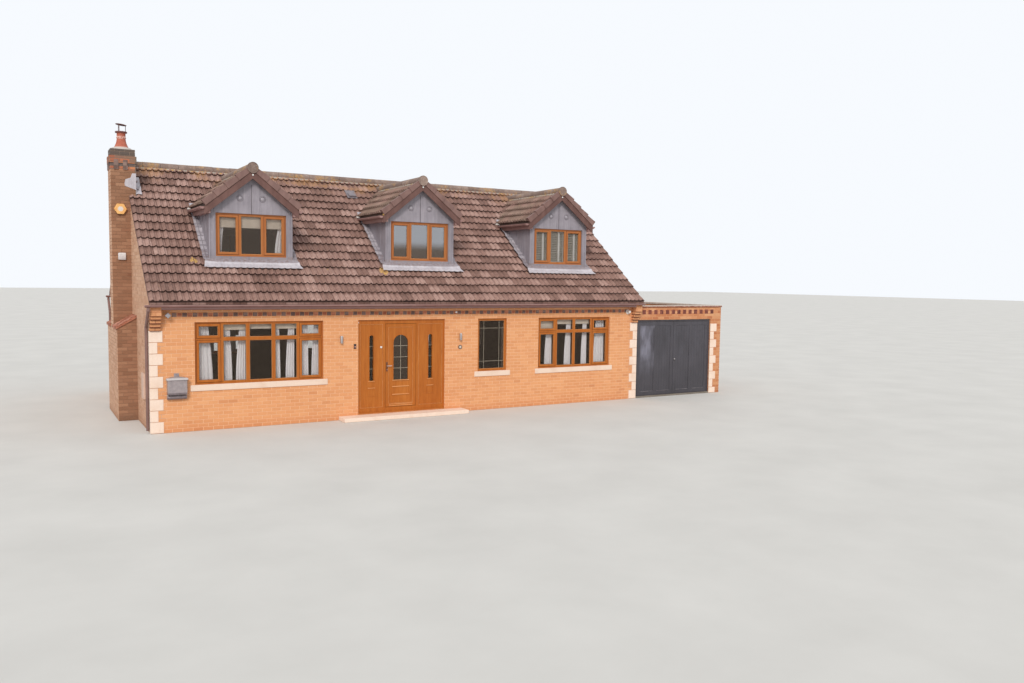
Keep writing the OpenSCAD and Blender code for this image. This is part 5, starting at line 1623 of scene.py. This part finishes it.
felt, at = finish("roofing_felt", Roughness=0.95)
grit = at.noise(180, 2)
lap = ((at.part("Y") - FRONT).fract() - 0.5).abs() < 0.006
colour = (at.noise(1.2, 4) * 0.7 + grit * 0.3).colours(
    (0.35, rgb(134, 128, 124)), (0.65, rgb(166, 159, 153)))
wear(felt, Base_Color=(lap * 0.7).mix(colour, rgb(58, 56, 56)), Normal=grit.bump(0.4, 0.002))
dress(felt, "garage_flat_roof")
coping, at = finish("mortar_coping", Roughness=0.95)
edge = at.noise(6, 5, 0.75)
low = (2.818 + (edge - 0.5) * 0.08 - at.part("Z")).ramp(0.0, 0.006) * (at.part("Y") < FRONT + 0.1)
pale = at.noise(18, 5, 0.7).colours((0.3, rgb(170, 154, 144)), (0.7, rgb(208, 192, 180)))
brickish = at.noise(9, 4).colours((0.3, rgb(122, 70, 54)), (0.7, rgb(160, 100, 78)))
wear(coping, Base_Color=low.mix(pale, brickish), Normal=edge.bump(0.6, 0.012))
eased("garage_coping", "mortar_coping_top", 0.010, coping, segments=2)


def headers(x0, count, pitch, z0, z1, proud, width=0.1025):
    """A row of header bricks along the front, each with eased edges."""
    one = box((x0, FRONT - proud, z0), (x0 + width, FRONT + 0.01, z1))
    bevel(one, 0.003)
    array(one, count, (pitch, 0, 0))
    return one


def plain_brick(name, *stops):
    made, at = finish(name, Roughness=0.85)
    each = (at.part("X") / 0.1125).floor().point((at.part("Z") / COURSE).floor(), 5).cell()
    grain = at.noise(50, 5, 0.7)
    wear(made, Base_Color=(each * 0.6 + grain * 0.4).colours(*stops), Normal=grain.bump(0.4, 0.003))
    return made


blue_brick = plain_brick(
    "blue_header", (0.2, rgb(104, 82, 74)), (0.5, rgb(124, 100, 92)), (0.8, rgb(148, 122, 112)))
red_brick = plain_brick(
    "red_header", (0.2, rgb(160, 90, 64)), (0.5, rgb(184, 110, 80)), (0.8, rgb(204, 136, 106)))
dark_red = plain_brick(
    "dark_red_header", (0.2, rgb(96, 50, 44)), (0.5, rgb(118, 62, 52)), (0.8, rgb(138, 80, 66)))
band_brick = plain_brick(
    "band_brick", (0.2, rgb(158, 88, 66)), (0.5, rgb(176, 106, 82)), (0.8, rgb(192, 128, 104)))
band, garage_band = (2.636, 2.728), (2.572, 2.704)
both_sides(headers(LEFT + 0.4725, 58, BRICK, *band, 0.014), "blue_headers", blue_brick)
both_sides(headers(LEFT + 0.5850, 57, BRICK, *band, 0.007), "red_headers", red_brick)
keep(headers(RIGHT + 0.195, 13, 0.2325, *garage_band, 0.010, 0.130),
     "garage_dark_headers", dark_red)
keep(headers(RIGHT + 0.3335, 12, 0.2325, *garage_band, 0.005, 0.086),
     "garage_pale_headers", band_brick)

# Chimney
# Dark and orange bricks step out in the cap, with two toothed patches a side;
# plain clay tiles cover the shoulders, and lead steps down the stack's flanks.
cap_low, cap_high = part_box("chimney_cap")
cap_mid = (cap_low + cap_high) / 2
STACK_HALF = (stack_high.x - stack_low.x) / 2
teeth = []
for turn in range(4):
    for shift in (-0.1575, 0.0525):
        tooth = box(
            (shift - 0.056, -STACK_HALF - 0.028, CAP_FOOT + 0.006),
            (shift + 0.056, -STACK_HALF + 0.006, CAP_FOOT + 3 * COURSE - 0.006))
        bevel(tooth, 0.004)
        tooth.rotation_euler.z = turn * math.pi / 2
        tooth.location = (cap_mid.x, cap_mid.y, 0)
        place(tooth)
        teeth.append(tooth)
keep(join(teeth), "cap_teeth", blue_brick)
for k, (low_row, out) in enumerate(((0, 0.0), (2, 0.020), (4, -0.010))):
    half = STACK_HALF + out
    foot_z = CAP_FOOT + low_row * COURSE
    for side in ("front", "rear", "left", "right"):
        run_x = side in ("front", "rear")
        along, away = (cap_mid.x, cap_mid.y) if run_x else (cap_mid.y, cap_mid.x)
        plane = away + (half if side in ("rear", "right") else -half)
        brick_wall(
            f"cap_{side}_courses_{k + 1}", side, plane, along - half - 0.003, along + half + 0.003,
            foot_z + 2 * COURSE, bottom=foot_z, made=cap_brick)

CLAY_W = 0.165
clay, at = finish("clay_tiles", Roughness=0.85)
each = (at.part("Y") / CLAY_W).floor().point((at.part("X") / 0.095).floor(), 2).cell()
grain = at.noise(40, 5, 0.7)
colour = (each * 0.6 + grain * 0.4).colours(
    (0.2, rgb(142, 84, 62)), (0.5, rgb(172, 108, 84)), (0.8, rgb(200, 140, 116)))
colour = (at.noise(7, 4, 0.7).ramp(0.58, 0.68) * 0.6).mix(colour, rgb(212, 190, 176))
wear(clay, Base_Color=colour, Normal=grain.bump(0.4, 0.003))
dress(clay, "chimney_shoulders")
shoulder_low, shoulder_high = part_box("chimney_shoulders")
SHOULDER_ROWS, SHOULDER_T = 5, 0.036
run = (shoulder_high.x - shoulder_low.x) / math.cos(SHOULDER_PITCH) / SHOULDER_ROWS
shoulder_tiles = []
for y0, y1 in ((shoulder_low.y, stack_low.y - 0.002), (stack_high.y + 0.002, shoulder_high.y)):
    count = round((y1 - y0) / CLAY_W)
    width = (y1 - y0) / count
    one = box((0, 0.002, 0.0), (run + 0.03, width - 0.002, 0.014))
    one.rotation_euler.y = math.radians(4)
    one.location = (0, 0, 0.008)
    place(one)
    bevel(one, 0.003)
    array(one, count, (0, width, 0))
    array(one, SHOULDER_ROWS, (run, 0, 0))
    one.rotation_euler.y = -SHOULDER_PITCH
    one.location = (shoulder_low.x, y0, shoulder_low.z + SHOULDER_T / math.cos(SHOULDER_PITCH))
    place(one)
    cut(one, box((LEFT - 0.002, y0 - 1, 1), (LEFT + 1, y1 + 1, 4)))
    shoulder_tiles.append(one)
keep(join(shoulder_tiles), "shoulder_tiles", clay)

terracotta, at = finish("chimney_pot_clay", Roughness=0.8)
grain = at.noise(18, 5, 0.7)
height = at.part("Z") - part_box("chimney_pot")[0].z
colour = grain.colours((0.3, rgb(166, 84, 64)), (0.7, rgb(194, 114, 90)))
ring_band = (height > 0.275) * (height < 0.345) * at.noise(24, 3).ramp(0.42, 0.55)
colour = (ring_band * 0.85).mix(colour, rgb(226, 190, 176))
colour = (height > 0.424).mix(colour, rgb(106, 66, 62))
colour = ((0.09 - height).ramp(0.0, 0.03) * 0.6).mix(colour, rgb(214, 196, 184))
wear(terracotta, Base_Color=colour, Normal=grain.bump(0.3, 0.003))
eased("chimney_pot", "pot_and_cowl", 0.003, terracotta)

plates = [
    prism(
        [(LEFT - 0.13, 5.84), (LEFT - 0.12, 5.78), (stack_high.x + 0.008, 5.69),
         (stack_high.x + 0.008, 6.10), (LEFT + 0.05, 6.10), (LEFT + 0.01, 5.99),
         (LEFT - 0.11, 5.94)],
        stack_low.y - 0.012, stack_low.y - 0.004, "Y"),
    prism(
        [(LEFT + 0.03, 5.94), (stack_high.x + 0.006, 5.94), (stack_high.x + 0.006, 6.14),
         (LEFT + 0.03, 6.14)],
        stack_high.y + 0.004, stack_high.y + 0.010, "Y"),
]
step = prism(
    [(stack_low.y - 0.006, roof_z(stack_low.y) - 0.02),
     (stack_low.y + 0.20, roof_z(stack_low.y + 0.20) - 0.02),
     (stack_low.y + 0.20, roof_z(stack_low.y + 0.20) + 0.21),
     (stack_low.y - 0.006, roof_z(stack_low.y + 0.20) + 0.21)],
    stack_high.x + 0.004, stack_high.x + 0.010, "X")
array(step, 3, (0.0004, 0.19, 0.19 * math.tan(PITCH)))
cut(step, box((stack_high.x - 0.1, stack_low.y - 0.02, 5), (stack_high.x + 0.1, stack_high.y + 0.008, 7)),
    "INTERSECT")
plates.append(step)
for plate in plates:
    bevel(plate, 0.0015)
plates.append(dressed_lead(
    stack_high.x + 0.002, stack_high.x + 0.14, stack_low.y - 0.03, stack_high.y + 0.02, 0.006))
keep(join(plates), "stack_flashing", pale_lead)

# Alarm boxes
# A six-sided bell box with a plain pale centre and a rounded receiver below it,
# both screwed to the front of the stack.
boxes, at = finish("alarm_box_plastic", Roughness=0.38)
BELL_X, BELL_Z = LEFT - 0.236, 5.20
x, y, z = at.part("X") - BELL_X, at.part("Y"), at.part("Z") - BELL_Z
fade = at.noise(9, 4)
hexagon = z.abs().most((x * 0.866 + z * 0.5).abs()).most((x * 0.866 - z * 0.5).abs())
amber = fade.colours((0.3, rgb(232, 164, 92)), (0.7, rgb(248, 196, 124)))
colour = (hexagon.ramp(0.062, 0.054)).mix(amber, rgb(226, 216, 208))
# the lower side of the bell box is painted dark as its shaded underside
colour = ((y > stack_low.y - 0.062) * (z < -0.06)).mix(colour, rgb(96, 62, 48))
# the receiver's white is painted lighter toward its top, as painted shading
white = (fade * 0.6 + (z + 1.17).ramp(-0.1, 0.1) * 0.4).colours(
    (0.2, rgb(188, 180, 180)), (0.8, rgb(232, 230, 230)))
wear(boxes, Base_Color=(z < -0.6).mix(colour, white))
bell = disc(
    0.155, 0.070, (BELL_X, stack_low.y - 0.039, BELL_Z), 6, (math.pi / 2, math.pi / 6, 0))
for vert in bell.data.vertices:
    if vert.co.y < stack_low.y - 0.06:
        vert.co.x = (vert.co.x - BELL_X) * 0.93 + BELL_X
        vert.co.z = (vert.co.z - BELL_Z) * 0.93 + BELL_Z
bevel(bell, 0.009, 3, 0.6)
receiver = box((LEFT - 0.306, stack_low.y - 0.054, 3.936), (LEFT - 0.126, stack_low.y - 0.004, 4.116))
bevel(receiver, 0.020, 4, 0.6)
bell = join([bell, receiver])
keep(bell, "bell_and_receiver", boxes)
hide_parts("alarm_boxes")

# Roof vent and apex lights
# One grey plastic vent tile stands in for a clay one high on the front slope,
# and a small white light is screwed to the boards under each dormer's apex.
vent_parts = [box((-0.150, 0, 0.030), (0.150, 0.400, 0.052)),
              box((-0.105, 0.03, 0.045), (0.105, 0.30, 0.105))]
for vert in vent_parts[1].data.vertices:
    if vert.co.y > 0.2:
        vert.co.z = min(vert.co.z, 0.055)
for vent_part in vent_parts:
    bevel(vent_part, 0.010, 2, 0.6)
vent_tile = join(vent_parts)
onto_slope(vent_tile, LEFT + 5.954, -0.742, roof_z(0.742), PITCH)
vent_grey, at = finish("vent_plastic", Roughness=0.7)
dust = at.noise(14, 4)
wear(vent_grey, Base_Color=dust.colours((0.3, rgb(112, 104, 110)), (0.7, rgb(150, 142, 146))),
     Normal=dust.bump(0.2, 0.002))
keep(vent_tile, "vent_tile", vent_grey)
lights = []
for x in DORMER_XS:
    light = disc(0.022, 0.020, (x, DORMER_FRONT - 0.012, 6.020), 20)
    bevel(light, 0.006, 3, 0.6)
    lights.append(light)
both_sides(join(lights), "apex_lights", painted)

# Letter box
# A cast and pressed metal box with a shaped lid and a round paper holder under
# it, screwed to the bricks beside the quoins; its front is plain.
tin, at = finish("letter_box_metal", Roughness=0.42, Metallic=0.35)
z = at.part("Z")
rub = at.noise(14, 4, 0.7)
colour = rub.colours((0.3, rgb(146, 136, 138)), (0.7, rgb(176, 164, 164)))
# a pale band across the lid is a painted highlight
colour = ((z > 1.218) * (z < 1.262)).mix(colour, rgb(206, 198, 197))
colour = (z < 0.925).mix(colour, rub.colours((0.3, rgb(112, 100, 102)), (0.7, rgb(140, 128, 130))))
# a pale line across the darker paper holder is a painted highlight
colour = ((z > 0.852) * (z < 0.874)).mix(colour, rgb(198, 190, 190))
wear(tin, Base_Color=colour, Roughness=0.36 + rub * 0.2, Normal=rub.bump(0.2, 0.002))
eased("letter_box", "letter_box_body", 0.004, tin, segments=2)
keep(
    rings([(LEFT + 0.362, 0.945, LEFT + 0.744, 1.196)], FRONT - 0.1505, 0.010, 0.005, 0.002),
    "letter_box_bead", tin)

# Lamps and fittings
# Brushed steel wall lamps either side of the door, a bell push, a plain round
# plaque, a floodlight, two small lights under the eaves and the meter cabinet.
lamp_steel, at = finish("brushed_steel", Roughness=0.35, Metallic=0.7)
brush = at.stretched(60, 60, 4).noise(1.0, 4)
inner = (at.part("Y") > FRONT - 0.040) * 1.0
colour = brush.colours((0.3, rgb(150, 142, 142)), (0.7, rgb(206, 200, 200)))
wear(lamp_steel, Base_Color=(inner * 0.5).mix(colour, rgb(92, 80, 78)), Roughness=0.28 + brush * 0.2)
eased("wall_lamps", "lamp_bodies", 0.004, lamp_steel, segments=2)
lenses = []
for x in (LEFT + 4.434, LEFT + 7.759):
    for z in (2.118, 1.942):
        lens = disc(0.029, 0.012, (x, FRONT - 0.050, z), turn=UPRIGHT)
        bevel(lens, 0.004, 2, 0.6)
        lenses.append(lens)
keep(join(lenses), "lamp_lenses", painted)

fitting, at = finish("fitting_plastic", Roughness=0.4)
x, z = at.part("X") - LEFT, at.part("Z")
soft = at.noise(12, 3)
colour = soft.colours((0.3, rgb(222, 218, 214)), (0.7, rgb(238, 234, 230)))
colour = ((x < 0.6) * (z > 2.4)).mix(colour, rgb(156, 152, 156))
push = (x > 4.6) * (x < 4.86) * (z < 2.2)
colour = push.mix(colour, rgb(58, 44, 42))
from_push = (x - 4.794) * (x - 4.794) + (z - 1.840) * (z - 1.840)
colour = (push * (from_push < 0.0003)).mix(colour, rgb(206, 150, 138))
from_plaque = (x - 7.759) * (x - 7.759) + (z - 1.750) * (z - 1.750)
colour = (from_plaque < 0.004).mix(colour, rgb(94, 80, 74))
colour = (from_plaque < 0.0011).mix(colour, rgb(210, 192, 176))
colour = ((x < 0.004) * (z < 1.5)).mix(colour, rgb(214, 184, 166))
wear(fitting, Base_Color=colour, Roughness=0.34 + soft * 0.15)
eased("wall_fittings", "small_fittings", 0.003, fitting)
cabinet = box((LEFT - 0.044, FRONT + 0.83, 0.72), (LEFT - 0.038, FRONT + 1.17, 1.26))
bevel(cabinet, 0.002, 1, 0.6)
keep(cabinet, "meter_cabinet_door", fitting)

# Floors
# A concrete ground slab and garage floor, and a boarded first floor whose
# underside is plastered.
# the concrete is painted darker than bare concrete, as the shade inside the house
concrete, at = finish("floor_concrete", Roughness=0.9)
grain = at.noise(24, 5, 0.7)
wear(concrete, Base_Color=(grain * 0.4 + at.noise(1.6, 4) * 0.6).colours(
    (0.35, rgb(118, 108, 98)), (0.65, rgb(142, 132, 121))), Normal=grain.bump(0.3, 0.003))
dress(concrete, "floor_slabs")
BOARD_W = 0.14
deck, at = finish("floor_boards", Roughness=0.7)
board = (at.part("Y") / BOARD_W).floor().point(1, 7).cell()
seam = (at.part("Y") / BOARD_W).fract() < 0.03
grain = at.stretched(2.5, 40, 40).noise(1.0, 4)
boards = (board * 0.4 + grain * 0.6).colours((0.3, rgb(150, 112, 76)), (0.7, rgb(192, 152, 108)))
boards = (seam * 0.7).mix(boards, rgb(70, 52, 38))
top_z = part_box("first_floor_deck")[1].z
wear(deck, Base_Color=(at.part("Z") > top_z - 0.03).mix(plaster(at), boards))
dress(deck, "first_floor_deck")
